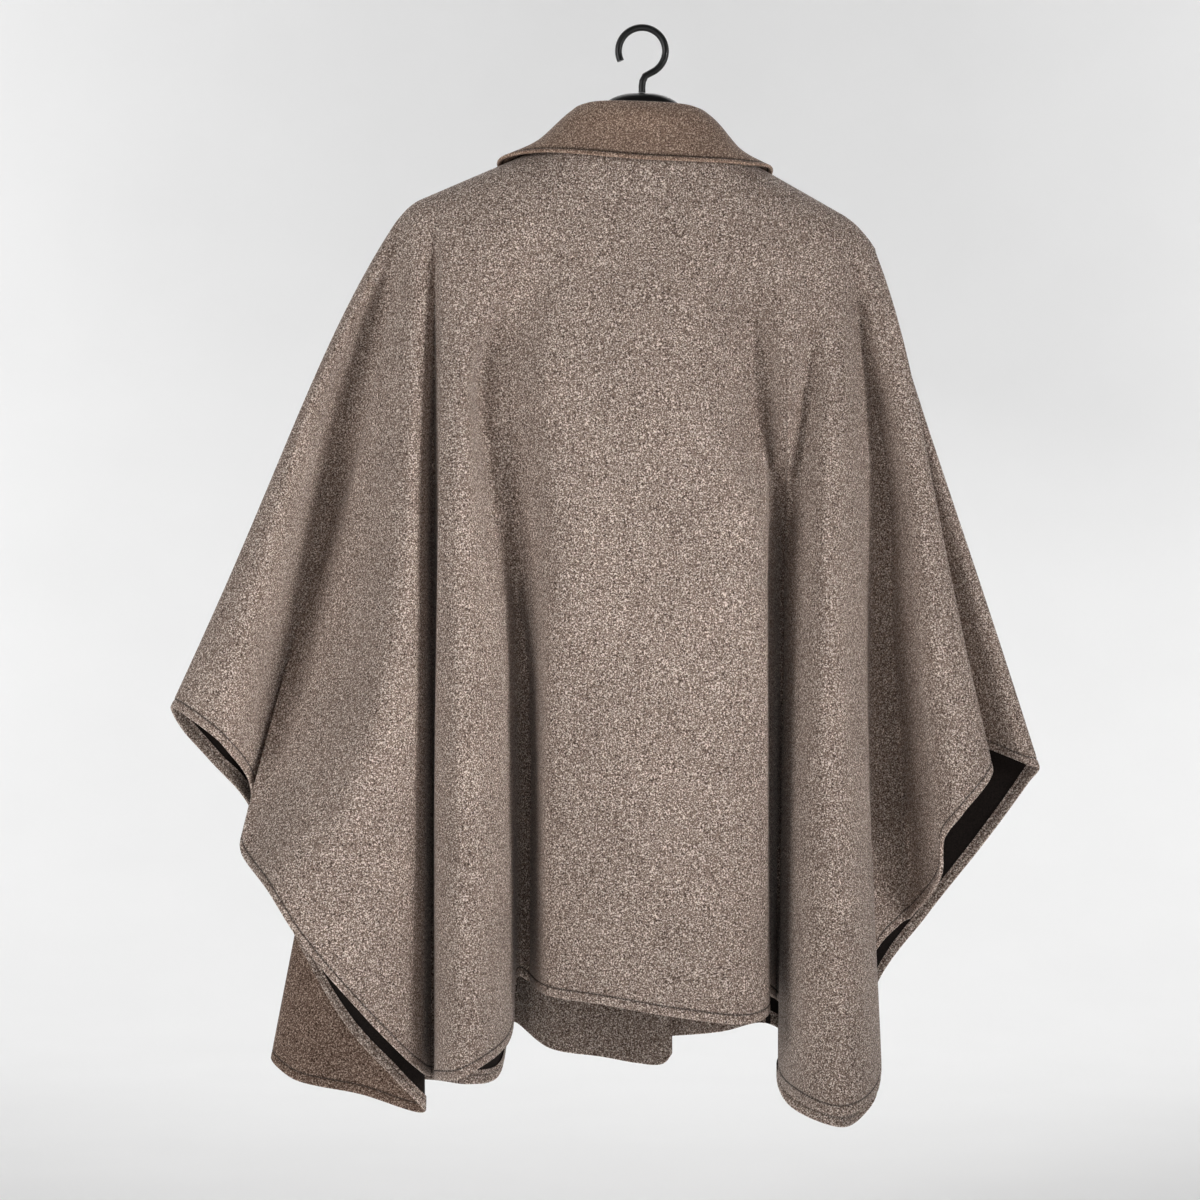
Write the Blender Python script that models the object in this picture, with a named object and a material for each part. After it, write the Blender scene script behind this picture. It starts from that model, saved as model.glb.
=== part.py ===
"""Hip-length poncho cape with a fold-over collar and a lapped front, hanging on a shaped hanger.

Sizes are in millimetres and become metres when a mesh is made.
x runs to the right of someone looking at the garment's back, y runs from its back to its front, z runs up.
The origin is the seat of the hanger's hook, so a "drop" is a distance below the rail that carries the hanger.
"""

import math
from collections import namedtuple

import bmesh
import bpy
import numpy as np

MM = 0.001

# Cloth and seams
CLOTH = 2.2  # bonded coat cloth, fleck face on a dark back
TURNED = 1.2  # pressed hem turning or facing
COLLAR_WALL = 3.6  # upper and under collar pressed together
SEAM_GAP = 0.3
HEM_TURN = 20.0  # width of the hem turned to the inside
FRONT_FACING_LINES = 4  # drape lines that each front facing reaches from its edge
FACING_TOP_ROW = 3  # the facings end a little below the neck seam

# Body of the garment as it hangs
NECK_HALF = 88.0
NECK_BACK = 58.0
NECK_FRONT = 70.0
BACK_DIP = 6.0  # how far the neckline sinks at the centre back
FRONT_DIP = 54.0
BODY_DEPTH = 62.0  # half of the depth at the shoulder blades
SHOULDER_ROLL = 80.0  # drop over which the cloth rolls off the shoulder seam
ROLL_POWER = 2.5
FOLD_POWER = 1.2  # above 1, folds open slowly at first and faster towards the hem
BOW_SCALE = 256 / 27  # makes a bow 1 at its widest, a quarter of the way down
LAP = 9.0  # the right front lies this far outside the left one at the neck
LAP_START = 80.0  # x at which the right front starts to lift over the left one
LAP_FULL = 15.0

# Mesh of the drape
COLUMN_STEP = 21.0  # hem length for each column of faces
ROWS = 13
ROW_POWER = 1.9  # above 1, rows crowd at the shoulder, where the cloth bends most

# Hanger
BAR_SEAT = 106.0  # the cloth rests on the arms from here outwards
BAR_FROM_CLOTH = 1.3
BAR_RADIUS = 9.0
BAR_DEPTH_SCALE = 1.25  # the bar is deeper from back to front than it is tall
BAR_HALF = 211.0  # half of the hanger's width
BAR_POINTS = 41
ARM_POINTS = 9
TIP_BLUNT = 0.1  # share of the round end that is cut off flat
HOOK_RADIUS = 3.5
HOOK_BEND = 20.0  # inside radius of the hook
HOOK_POINTS = 25
HOOK_ENDS = (-62, 205)  # degrees round the bend, from the stem to the tip
HOOK_FOOT_GAP = 0.5

# One row for each half of the shoulder seam, from x = 75 outwards
Shoulder = namedtuple("Shoulder", "end neck_drop slope round_from round_off")
SHOULDER_NECK = 75.0
LEFT_SHOULDER = Shoulder(end=250.0, neck_drop=107.3, slope=0.42, round_from=146.0, round_off=0.0193)
RIGHT_SHOULDER = Shoulder(end=233.0, neck_drop=113.7, slope=0.56, round_from=125.0, round_off=0.014)

# One row for each crest, flank or valley of the drape.
# top: x on the shoulder seam or neckline; hem, drop, depth: x, drop and y of its end on the hem;
# start: share of the line at which its fold opens; bow: sideways bow of the line below the shoulder.
Line = namedtuple("Line", "name top hem drop depth start bow")

FRONT_LEFT = [
    Line("front edge", 30, 32, 1034, 95, 0.1, 0),
    Line("front corner", 20, 22, 1045, 95, 0.1, 0),
    Line("front middle", -15, -42, 1038, 100, 0.1, 0),
    Line("front flank", -48, -92, 1031, 108, 0.1, 0),
    Line("front crest", -80, -125, 1012, 145, 0.05, 0),
    Line("inner flank", -112, -143, 1057, 98, 0.05, 0),
    Line("inner crest", -136, -176, 1063, 72, 0.05, 0),
    Line("inner turn", -156, -209, 1062, 95, 0.02, 0),
    Line("outer crest", -177, -250, 1066, 138, 0.02, 0),
    Line("outer flank", -195, -334, 1054, 126, 0, 0),
    Line("wrap edge", -207, -380, 1040, 98, 0, 0),
    Line("wrap flank", -214, -356, 1058, 74, 0, 0),
    Line("wrap face", -220, -286, 1071, 52, 0, 0),
    Line("wrap tip", -225, -222, 1086, 32, 0, 0),
    Line("under edge low", -230, -246, 1053, 14, 0, 0),
    Line("under edge middle", -235, -293, 1000, 8, 0, 0),
    Line("under edge high", -239, -338, 925, 12, 0, 0),
    Line("under edge bend", -242.5, -378, 836, 38, 0, 0),
    Line("wing edge low", -245.5, -400, 775, 46, 0, 0),
    Line("wing edge", -248, -438, 729, 34, 0, -6),
    Line("wing roll", -249.5, -463, 698, 16, 0, -10),
]
LEFT_SEAM = Line("left seam", -250, -472, 677, 0, 0, -9)
BACK = [
    Line("left roll", -249.3, -455, 692, -20, 0, -11),
    Line("left wing valley", -245, -391, 781, -18, 0, -14),
    Line("left lobe edge", -241, -393, 809, -58, 0, 6),
    Line("left lobe low", -238, -366, 855, -80, 0, 6),
    Line("left lobe", -234, -332, 905, -92, 0, 4),
    Line("left lobe inner", -223, -266, 980, -92, 0, 0),
    Line("left lobe flank", -211, -215, 1035, -50, 0, 0),
    Line("left deep valley", -202, -199, 1048, 5, 0, 0),
    Line("left ridge flank", -198.5, -205, 1041, -60, 0, 0),
    Line("left ridge", -184, -176, 1033, -102, 0.02, 0),
    Line("left ridge inner", -152, -132, 1005, -74, 0.05, 0),
    Line("left soft valley", -118, -123, 945, -8, 0.08, 0),
    Line("middle left", -90, -96, 959, -46, 0.1, 0),
    Line("middle left face", -50, -42, 965, -74, 0.1, 0),
    Line("middle", 10, 36, 977, -86, 0.1, 0),
    Line("middle right face", 84, 100, 984, -80, 0.1, 0),
    Line("middle right", 118, 124, 979, -52, 0.1, 0),
    Line("right deep valley", 129, 125, 962, 6, 0.1, 0),
    Line("right deep valley far side", 139, 141, 978, 8, 0.1, 0),
    Line("right ridge flank", 150, 139, 1026, -44, 0.08, 0),
    Line("right ridge", 172, 189, 1063, -108, 0.06, 0),
    Line("right ridge inner", 196, 230, 1039, -70, 0.05, -3),
    Line("right valley", 213, 233, 926, -2, 0.04, 10),
    Line("right lobe inner", 218.5, 260, 886, -32, 0.02, 15),
    Line("right lobe pinch", 222.5, 291, 838, -50, 0, 13),
    Line("right lobe", 226, 312, 780, -56, 0, 12),
    Line("right lobe edge", 229.5, 349, 740, -30, 0, 9),
    Line("right hidden valley", 231.3, 340, 718, 16, 0, 0),
    Line("right roll", 232.7, 385, 734, -8, 0, -4),
]
RIGHT_SEAM = Line("right seam", 233, 398, 737, 0, 0, -4)
FRONT_RIGHT = [
    Line("wing roll", 231.5, 390, 752, 18, 0, 0),
    Line("wing edge", 228.5, 348, 814, 44, 0, 0),
    Line("wing edge low", 221, 292, 888, 62, 0, 0),
    Line("side edge", 210, 239, 966, 72, 0, 0),
    Line("side low", 200, 243, 1026, 88, 0, 0),
    Line("side corner", 192, 243, 1080, 108, 0, 0),
    Line("ridge corner", 184, 223, 1104, 103, 0, 0),
    Line("under ridge", 172, 200, 1107, 74, 0.02, 0),
    Line("under ridge inner", 152, 154, 1086, 72, 0.02, 0),
    Line("under ridge turn", 138, 143, 1060, 96, 0.05, 0),
    Line("front crest", 120, 161, 1032, 140, 0.05, 0),
    Line("front flank", 92, 129, 1007, 128, 0.1, 0),
    Line("front face", 58, 82, 1015, 120, 0.1, 0),
    Line("front middle", 10, 20, 1020, 122, 0.1, 0),
    Line("front corner", -20, -42, 1020, 124, 0.1, 0),
    Line("front edge", -30, -52, 1010, 124, 0.1, 0),
]

# One row for each section of the collar, from its left front end round the back to its right front end.
# angle: place on the neckline, 0 at the centre back; fold and edge: points of the fold line and the outer edge.
# round: how far the fall is rounded up between the two, or hollowed where it is below 0.
CollarSection = namedtuple(
    "CollarSection", "angle fold_x fold_y fold_drop edge_x edge_y edge_drop round"
)
COLLAR = [
    CollarSection(-172, -15, 74, 148, -62, 97, 232, 6),
    CollarSection(-140, -46, 56, 121, -116, 76, 190, 6),
    CollarSection(-112, -63, 27, 98, -138, 40, 144, 3),
    CollarSection(-90, -67, 0, 85, -145, 2, 133, -8),
    CollarSection(-50, -53, -34, 78, -106, -44, 127, -2),
    CollarSection(0, 0, -50, 79, 0, -70, 137, 2),
    CollarSection(50, 51, -34, 82, 100, -46, 139, -2),
    CollarSection(90, 65, 0, 91, 131, 2, 140, -7),
    CollarSection(112, 61, 27, 103, 124, 40, 151, 3),
    CollarSection(140, 47, 59, 126, 109, 80, 194, 6),
    CollarSection(172, 15, 83, 150, 60, 107, 236, 6),
]
COLLAR_COLUMNS = 36
COLLAR_LIFT = 1.2  # the stand's lower edge above the neckline
STAND_HOLLOW = 2.0  # the stand leans in between its seam and the fold
FALL_MIDDLE = 0.55  # share of the fall at which its rounding is set

# The collar's roll on each side of the fold line: how far out and how far down from it
RollPoint = namedtuple("RollPoint", "out down")
STAND_ROLL = RollPoint(-4.5, 5.4)
FALL_ROLL = RollPoint(5.4, 3.6)

# Top line of the hanger's hump between its two arms: x and drop
HumpPoint = namedtuple("HumpPoint", "x drop")
HUMP = [
    HumpPoint(-82, 113.5),
    HumpPoint(-58, 94),
    HumpPoint(-34, 70),
    HumpPoint(0, 62),
    HumpPoint(34, 71),
    HumpPoint(58, 98),
    HumpPoint(82, 121.5),
]

# Middle of the hook's stem, from the hump up to where the bend starts
StemPoint = namedtuple("StemPoint", "x height")
STEM = [StemPoint(0, 0), StemPoint(0, 6), StemPoint(0.6, 11), StemPoint(3.2, 16.5)]

# Finishes: linear base colour, roughness, metallic
Finish = namedtuple("Finish", "name colour roughness metallic")
FLECK_CLOTH = Finish("fleck_cloth", (0.21, 0.155, 0.12, 1), 0.95, 0)
BLACK_PLASTIC = Finish("black_plastic", (0.012, 0.012, 0.012, 1), 0.45, 0)


def clear_scene():
    for obj in list(bpy.data.objects):
        bpy.data.objects.remove(obj)


def material(finish):
    """A finish as a Principled material, made once."""
    found = bpy.data.materials.get(finish.name)
    if found:
        return found
    made = bpy.data.materials.new(finish.name)
    made.use_nodes = True
    shader = made.node_tree.nodes["Principled BSDF"]
    shader.inputs["Base Color"].default_value = finish.colour
    shader.inputs["Roughness"].default_value = finish.roughness
    shader.inputs["Metallic"].default_value = finish.metallic
    return made


def spline(rows, knots, at):
    """A smooth curve through the rows, one row for each knot, read at the places given."""
    slopes = np.gradient(rows, knots, axis=0)
    index = np.clip(np.searchsorted(knots, at, side="right") - 1, 0, len(knots) - 2)
    width = (knots[index + 1] - knots[index])[:, None]
    u = (at - knots[index])[:, None] / width
    rise = u * u * (3 - 2 * u)
    leave = u * (1 - u) ** 2 * width
    arrive = u * u * (u - 1) * width
    between = rows[index] * (1 - rise) + rows[index + 1] * rise
    return between + slopes[index] * leave + slopes[index + 1] * arrive


def smooth_step(value, low, high):
    u = np.clip((value - low) / (high - low), 0, 1)
    return u * u * (3 - 2 * u)


def half_drop(x, half):
    """Drop of one half of the shoulder seam, sloping from the neck and rounding off at its end."""
    out = np.abs(x) - SHOULDER_NECK
    past = np.maximum(out - half.round_from, 0)
    return half.neck_drop + half.slope * out + half.round_off * past**2


def shoulder_drop(x):
    return np.where(x < 0, half_drop(x, LEFT_SHOULDER), half_drop(x, RIGHT_SHOULDER))


def neck_share(x):
    """1 at the middle of the neckline and 0 at its two shoulder points."""
    return np.clip(1 - (x / NECK_HALF) ** 2, 0, 1)


def top_drop(x, side):
    """Drop of the shoulder seam, or of the neckline between the shoulder points."""
    left, right = (float(shoulder_drop(np.array(s * NECK_HALF))) for s in (-1, 1))
    across = left + (right - left) * (x + NECK_HALF) / (2 * NECK_HALF)
    dip = np.where(side < 0, BACK_DIP, FRONT_DIP)
    return np.where(np.abs(x) < NECK_HALF, across + dip * neck_share(x), shoulder_drop(x))


def top_y(x, side):
    return np.where(side < 0, -NECK_BACK, NECK_FRONT) * np.sqrt(neck_share(x))


def body_y(x, side):
    """Depth of the garment below the shoulder roll, before its folds open."""
    end = np.where(x < 0, LEFT_SHOULDER.end, RIGHT_SHOULDER.end)
    return side * BODY_DEPTH * np.sqrt(np.clip(1 - (x / end) ** 2, 0, 1))


def front_lap(x):
    """How far the right front lies outside the left one."""
    return LAP * (1 - smooth_step(x, LAP_FULL, LAP_START))


def drape_columns(lines):
    """Columns through all the drape lines: their values and the column number of each line."""
    rows = np.array([line[1:] for line in lines], float)
    reach = np.linalg.norm(np.diff(rows[:, 1:4], axis=0), axis=1)
    knots = np.concatenate([[0], np.cumsum(np.sqrt(reach))])
    steps = np.maximum(np.round(reach / COLUMN_STEP), 1).astype(int)
    at = [np.linspace(knots[i], knots[i + 1], n, endpoint=False) for i, n in enumerate(steps)]
    at = np.concatenate(at + [knots[-1:]])
    columns = spline(rows, knots, at)
    columns[:, 0] = np.interp(at, knots, rows[:, 0])  # never doubles back along the seam
    return columns, np.concatenate([[0], np.cumsum(steps)])


def drape_points(columns, side, lap):
    """Outer surface of the cloth as rows by columns of points, from the shoulder to the hem."""
    top, hem, drop, depth, start, bow = columns.T
    from_drop = top_drop(top, side)
    from_y = top_y(top, side) + lap
    body = body_y(top, side) + lap
    length = np.hypot(hem - top, drop - from_drop)
    falls = (np.arange(ROWS + 1) / ROWS) ** ROW_POWER
    share = np.vstack([np.outer(falls, 1 - HEM_TURN / length), np.ones(len(top))])
    below = share * (drop - from_drop)
    roll = (1 - (1 - np.clip(below / SHOULDER_ROLL, 0, 1)) ** ROLL_POWER) ** (1 / ROLL_POWER)
    opened = np.clip((share - start) / (1 - start), 0, 1) ** FOLD_POWER
    x = top + (hem - top) * share + bow * BOW_SCALE * share * (1 - share) ** 3
    y = from_y + (body - from_y) * roll + (depth - body) * opened
    return np.dstack([x, y, -(from_drop + below)])


def unit(vectors):
    return vectors / np.maximum(np.linalg.norm(vectors, axis=-1, keepdims=True), 1e-9)


def directions(points, axis):
    """Direction of a grid's lines at each point, halfway between the steps before and after it."""
    steps = unit(np.diff(points, axis=axis))
    first, last = steps.take([0], axis), steps.take([-1], axis)
    return np.concatenate([first, steps], axis) + np.concatenate([steps, last], axis)


def surface_normals(points):
    """Outward directions of a surface whose columns run left to right on the back."""
    return unit(np.cross(directions(points, 0), directions(points, 1)))


def square_seam_normals(points, normals, left_seam, right_seam):
    """Normals along the shoulder and overarm seams, set in the seam's own plane so that the panels butt."""
    x = points[0, :, 0]
    steepness = shoulder_drop(x + 0.5) - shoulder_drop(x - 0.5)
    on_seam = np.abs(x) >= NECK_HALF
    normals[0, on_seam] = np.column_stack([steepness, np.zeros_like(x), np.ones_like(x)])[on_seam]
    for column, turn in ((left_seam, 1), (right_seam, -1)):
        down = directions(points[:, column], 0)
        normals[:, column] = turn * np.column_stack([down[:, 2], np.zeros(len(down)), -down[:, 0]])
    return unit(normals)


def trim_ends(points):
    """The first and last columns moved in by half a seam gap."""
    trimmed = points.copy()
    for end, inner in ((0, 1), (-1, -2)):
        trimmed[:, end] += unit(points[:, inner] - points[:, end]) * SEAM_GAP / 2
    return trimmed


def slab(name, points, normals, outer, inner, finish, collection):
    """A wall bent onto a surface: a flat grid, extruded, with its two faces moved to their depths."""
    rows, columns = points.shape[:2]
    bm = bmesh.new()
    bmesh.ops.create_grid(bm, x_segments=columns - 1, y_segments=rows - 1, size=0.5)
    lifted = bmesh.ops.extrude_face_region(bm, geom=bm.faces[:], use_keep_orig=True)["geom"]
    bmesh.ops.translate(bm, verts=[v for v in lifted if isinstance(v, bmesh.types.BMVert)], vec=(0, 0, 1))
    bmesh.ops.recalc_face_normals(bm, faces=bm.faces[:])
    for vert in bm.verts:
        column = round((vert.co.x + 0.5) * (columns - 1))
        row = round((vert.co.y + 0.5) * (rows - 1))
        depth = outer if vert.co.z < 0.5 else inner
        vert.co = (points[row, column] - normals[row, column] * depth) * MM
    if bm.calc_volume(signed=True) < 0:
        bmesh.ops.reverse_faces(bm, faces=bm.faces[:])
    bmesh.ops.triangulate(bm, faces=bm.faces[:], quad_method="SHORT_EDGE")
    mesh = bpy.data.meshes.new(name)
    bm.to_mesh(mesh)
    bm.free()
    return add_object(name, mesh, finish, collection)


def add_object(name, data, finish, collection):
    if isinstance(data, bpy.types.Mesh):
        data.shade_smooth()
        data.set_sharp_from_angle(angle=math.radians(50))
    data.materials.append(material(finish))
    obj = bpy.data.objects.new(name, data)
    collection.objects.link(obj)
    return obj


def make_panels(collection):
    """Back and two fronts, each with its turned hem, and the fronts' facings."""
    lines = FRONT_LEFT + [LEFT_SEAM] + BACK + [RIGHT_SEAM] + FRONT_RIGHT
    columns, numbers = drape_columns(lines)
    left_seam = numbers[len(FRONT_LEFT)]
    right_seam = numbers[len(FRONT_LEFT) + 1 + len(BACK)]
    place = np.arange(len(columns))
    side = np.where((place > left_seam) & (place < right_seam), -1, 1)
    lap = np.where(place > right_seam, front_lap(columns[:, 0]), 0)
    points = drape_points(columns, side, lap)
    normals = square_seam_normals(points, surface_normals(points), left_seam, right_seam)
    left_facing = numbers[FRONT_FACING_LINES]
    right_facing = numbers[-1 - FRONT_FACING_LINES]
    last = len(columns) - 1
    panels = (
        ("back", -1, left_seam, right_seam, None, left_seam, right_seam),
        ("front_left", 1, 0, left_seam, (0, left_facing), left_facing, left_seam),
        ("front_right", 1, right_seam, last, (right_facing, last), right_seam, right_facing),
    )
    under, depth = CLOTH + SEAM_GAP, CLOTH + SEAM_GAP + TURNED
    for name, toward, first, end, facing, turn_first, turn_end in panels:
        shifted = points + np.array([0, toward * SEAM_GAP / 2, 0])

        def wall(part, start, stop, top_row, outer, inner):
            spread = shifted[top_row:, start : stop + 1]
            spread = trim_ends(spread) if part != name else spread
            slab(part, spread, normals[top_row:, start : stop + 1], outer, inner, FLECK_CLOTH, collection)

        wall(name, first, end, 0, 0, CLOTH)
        wall("hem_turn_" + name, turn_first, turn_end, ROWS, under, depth)
        if facing:
            wall("facing_" + name, facing[0], facing[1], FACING_TOP_ROW, under, depth)


def collar_points():
    """Middle surface of the collar: stand from the neckline, fold, and fall to the outer edge."""
    table = np.array(COLLAR, float)
    sections = spline(table, table[:, 0], np.linspace(table[0, 0], table[-1, 0], COLLAR_COLUMNS + 1))
    angle = np.radians(sections[:, 0])
    seam_x = NECK_HALF * np.sin(angle)
    side = np.where(np.cos(angle) > 0, -1, 1)
    lifted = np.where(sections[:, 0] > 90, front_lap(seam_x), 0)
    seam = np.column_stack([seam_x, top_y(seam_x, side) + lifted, COLLAR_LIFT - top_drop(seam_x, side)])
    fold = sections[:, 1:4] * (1, 1, -1)
    edge = sections[:, 4:7] * (1, 1, -1)
    outward = unit((edge - fold) * (1, 1, 0))
    stand = (seam + fold) / 2 - outward * STAND_HOLLOW
    under_fold = fold + outward * STAND_ROLL.out - (0, 0, STAND_ROLL.down)
    over_fold = fold + outward * FALL_ROLL.out - (0, 0, FALL_ROLL.down)
    fall = fold + (edge - fold) * FALL_MIDDLE + np.outer(sections[:, 7], (0, 0, 1))
    profile = np.stack([seam, stand, under_fold, fold, over_fold, fall, edge])
    knots = np.concatenate([[0], np.cumsum(np.linalg.norm(np.diff(profile, axis=0), axis=2).mean(1))])
    at = np.sort(np.concatenate([knots, (knots[1:] + knots[:-1]) / 2]))
    flat = profile.reshape(len(profile), -1)
    return spline(flat, knots, at).reshape(len(at), -1, 3)


def make_collar(collection):
    points = collar_points()
    normals = surface_normals(points)
    slab("collar", points, normals, -COLLAR_WALL / 2, COLLAR_WALL / 2, FLECK_CLOTH, collection)


def tube(name, path, radius, depth_scale, radii, finish, collection):
    """A round bar along a path in the plane y = 0, stretched from back to front."""
    curve = bpy.data.curves.new(name, "CURVE")
    curve.dimensions = "3D"
    curve.bevel_depth = radius * MM
    curve.bevel_resolution = 3
    curve.use_fill_caps = True
    strand = curve.splines.new("POLY")
    strand.points.add(len(path) - 1)
    for point, (x, z), share in zip(strand.points, path, radii):
        point.co = (x * MM, 0, z * MM, 1)
        point.radius = share
    obj = add_object(name, curve, finish, collection)
    obj.scale.y = depth_scale
    return obj


def make_hanger_bar(collection):
    """The arms lie under the shoulder seam and meet in a hump that stands out of the neck."""
    arms = [np.linspace(-BAR_HALF, -BAR_SEAT, ARM_POINTS), np.linspace(BAR_SEAT, BAR_HALF, ARM_POINTS)]
    seats = [np.column_stack([x, shoulder_drop(x) + CLOTH + BAR_FROM_CLOTH]) for x in arms]
    outline = np.vstack([seats[0], np.array(HUMP, float), seats[1]])
    x = np.linspace(-BAR_HALF, BAR_HALF, BAR_POINTS)
    top = spline(outline[:, 1:], outline[:, 0], x)[:, 0]
    drop = top + BAR_RADIUS * np.hypot(1, np.gradient(top, x))
    from_tip = (BAR_HALF - np.abs(x)) / (2 * BAR_RADIUS)
    radii = np.sqrt(1 - (1 - np.clip(from_tip + TIP_BLUNT, 0, 1)) ** 2)
    path = np.column_stack([x, -drop])
    tube("hanger_bar", path, BAR_RADIUS, BAR_DEPTH_SCALE, radii, BLACK_PLASTIC, collection)


def make_hanger_hook(collection):
    """Stem from the hump, then round over the rail; the inside of the bend's top is the origin."""
    foot = -HUMP[len(HUMP) // 2].drop + HOOK_FOOT_GAP
    bend = HOOK_BEND + HOOK_RADIUS
    angles = np.radians(np.linspace(*HOOK_ENDS, HOOK_POINTS))
    loop = np.column_stack([bend * np.cos(angles), -HOOK_BEND + bend * np.sin(angles)])
    path = np.vstack([np.array(STEM) + (0, foot), loop])
    tube("hanger_hook", path, HOOK_RADIUS, 1, np.ones(len(path)), BLACK_PLASTIC, collection)


def main():
    clear_scene()
    collection = bpy.data.collections.new("poncho")
    bpy.context.scene.collection.children.link(collection)
    make_panels(collection)
    make_collar(collection)
    make_hanger_bar(collection)
    make_hanger_hook(collection)


main()
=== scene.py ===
"""Looks of a cape-style poncho in fleck wool coating, hanging on a black hanger.

The tables and the drape functions start from those of the part's source, read here at a finer step.
Some of their values are set closer to the photograph, and the creases, the ripples and the sewing are in
this script alone. Tables are in millimetres, which become metres when a mesh is made.
"""

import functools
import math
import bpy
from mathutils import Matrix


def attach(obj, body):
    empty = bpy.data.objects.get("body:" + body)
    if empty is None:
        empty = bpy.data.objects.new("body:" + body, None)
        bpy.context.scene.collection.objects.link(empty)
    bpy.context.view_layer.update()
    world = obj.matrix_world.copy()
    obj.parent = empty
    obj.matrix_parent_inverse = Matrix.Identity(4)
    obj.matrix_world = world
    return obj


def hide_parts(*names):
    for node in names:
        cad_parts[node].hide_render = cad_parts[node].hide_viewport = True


bl_info = {
    "name": "Poncho on a hanger",
    "version": (1, 0, 0),
    "blender": (4, 5, 0),
    "location": "View3D > Sidebar > Poncho",
    "description": "Builds a fleck wool poncho with its collar, facings and topstitching on a hanger",
    "category": "Add Mesh",
}

from collections import namedtuple

import bpy
import numpy as np
from mathutils import Vector, noise

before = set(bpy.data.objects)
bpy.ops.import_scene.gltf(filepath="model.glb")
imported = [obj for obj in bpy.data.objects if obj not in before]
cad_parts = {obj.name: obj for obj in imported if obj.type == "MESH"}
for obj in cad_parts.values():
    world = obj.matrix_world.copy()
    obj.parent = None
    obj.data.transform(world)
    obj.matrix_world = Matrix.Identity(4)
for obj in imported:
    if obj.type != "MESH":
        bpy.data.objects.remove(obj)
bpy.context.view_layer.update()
BODY = "root"
MM = 0.001

# Body of the garment as it hangs
SEAM_GAP = 0.3
NECK_HALF = 88.0
NECK_BACK = 58.0
NECK_FRONT = 70.0
BACK_DIP = 6.0  # how far the neckline sinks at the centre back
FRONT_DIP = 54.0
BODY_DEPTH = 62.0  # half of the depth at the shoulder blades
SHOULDER_ROLL = 80.0  # drop over which the cloth rolls off the shoulder seam
ROLL_POWER = 2.5
FOLD_POWER = 1.2  # above 1, folds open slowly at first and faster towards the hem
BOW_SCALE = 256 / 27  # makes a bow 1 at its widest, a quarter of the way down
LAP = 9.0  # the right front lies this far outside the left one at the neck
LAP_START = 80.0  # x at which the right front starts to lift over the left one
LAP_FULL = 15.0
FRONT_FACING_LINES = 4  # drape lines that each front facing reaches from its edge
FACING_TOP = 60.0  # the facings start this far below the neck seam

# One row for each half of the shoulder seam, from SHOULDER_NECK outwards
Shoulder = namedtuple("Shoulder", "end neck_drop slope round_from round_off")
SHOULDER_NECK = 75.0
LEFT_SHOULDER = Shoulder(end=250.0, neck_drop=107.3, slope=0.42, round_from=146.0, round_off=0.0193)
RIGHT_SHOULDER = Shoulder(end=233.0, neck_drop=113.7, slope=0.56, round_from=125.0, round_off=0.014)

# One row for each crest, flank or valley of the drape.
# top: x on the shoulder seam or neckline; hem, drop, depth: x, drop and y of its end on the hem;
# start: share of the line at which its fold opens; bow: sideways bow of the line below the shoulder.
Line = namedtuple("Line", "name top hem drop depth start bow")

FRONT_LEFT = [
    Line("front edge", 30, 32, 1034, 95, 0.1, 0),
    Line("front corner", 20, 22, 1045, 95, 0.1, 0),
    Line("front middle", -15, -42, 1038, 100, 0.1, 0),
    Line("front flank", -48, -92, 1031, 108, 0.1, 0),
    Line("front crest", -80, -134, 1008, 145, 0.05, 0),
    Line("inner flank", -112, -149, 1060, 98, 0.05, 0),
    Line("inner crest", -136, -176, 1063, 72, 0.05, 0),
    Line("inner turn", -156, -209, 1062, 95, 0.02, 0),
    Line("outer crest", -177, -250, 1066, 138, 0.02, 0),
    Line("outer flank", -195, -334, 1054, 126, 0, 0),
    Line("wrap edge", -207, -380, 1040, 98, 0, 0),
    Line("wrap flank", -214, -356, 1058, 74, 0, 0),
    Line("wrap face", -220, -286, 1071, 52, 0, 0),
    Line("wrap tip", -225, -222, 1086, 32, 0, 0),
    Line("under edge low", -230, -246, 1053, 14, 0, 0),
    Line("under edge middle", -235, -293, 1000, 8, 0, 0),
    Line("under edge high", -239, -338, 925, 12, 0, 0),
    Line("under edge bend", -242.5, -378, 836, 38, 0, 0),
    Line("wing edge low", -245.5, -400, 775, 46, 0, 0),
    Line("wing edge", -248, -438, 729, 34, 0, -6),
    Line("wing roll", -249.5, -463, 698, 16, 0, -10),
]
LEFT_SEAM = Line("left seam", -250, -472, 677, 0, 0, -9)
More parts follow.
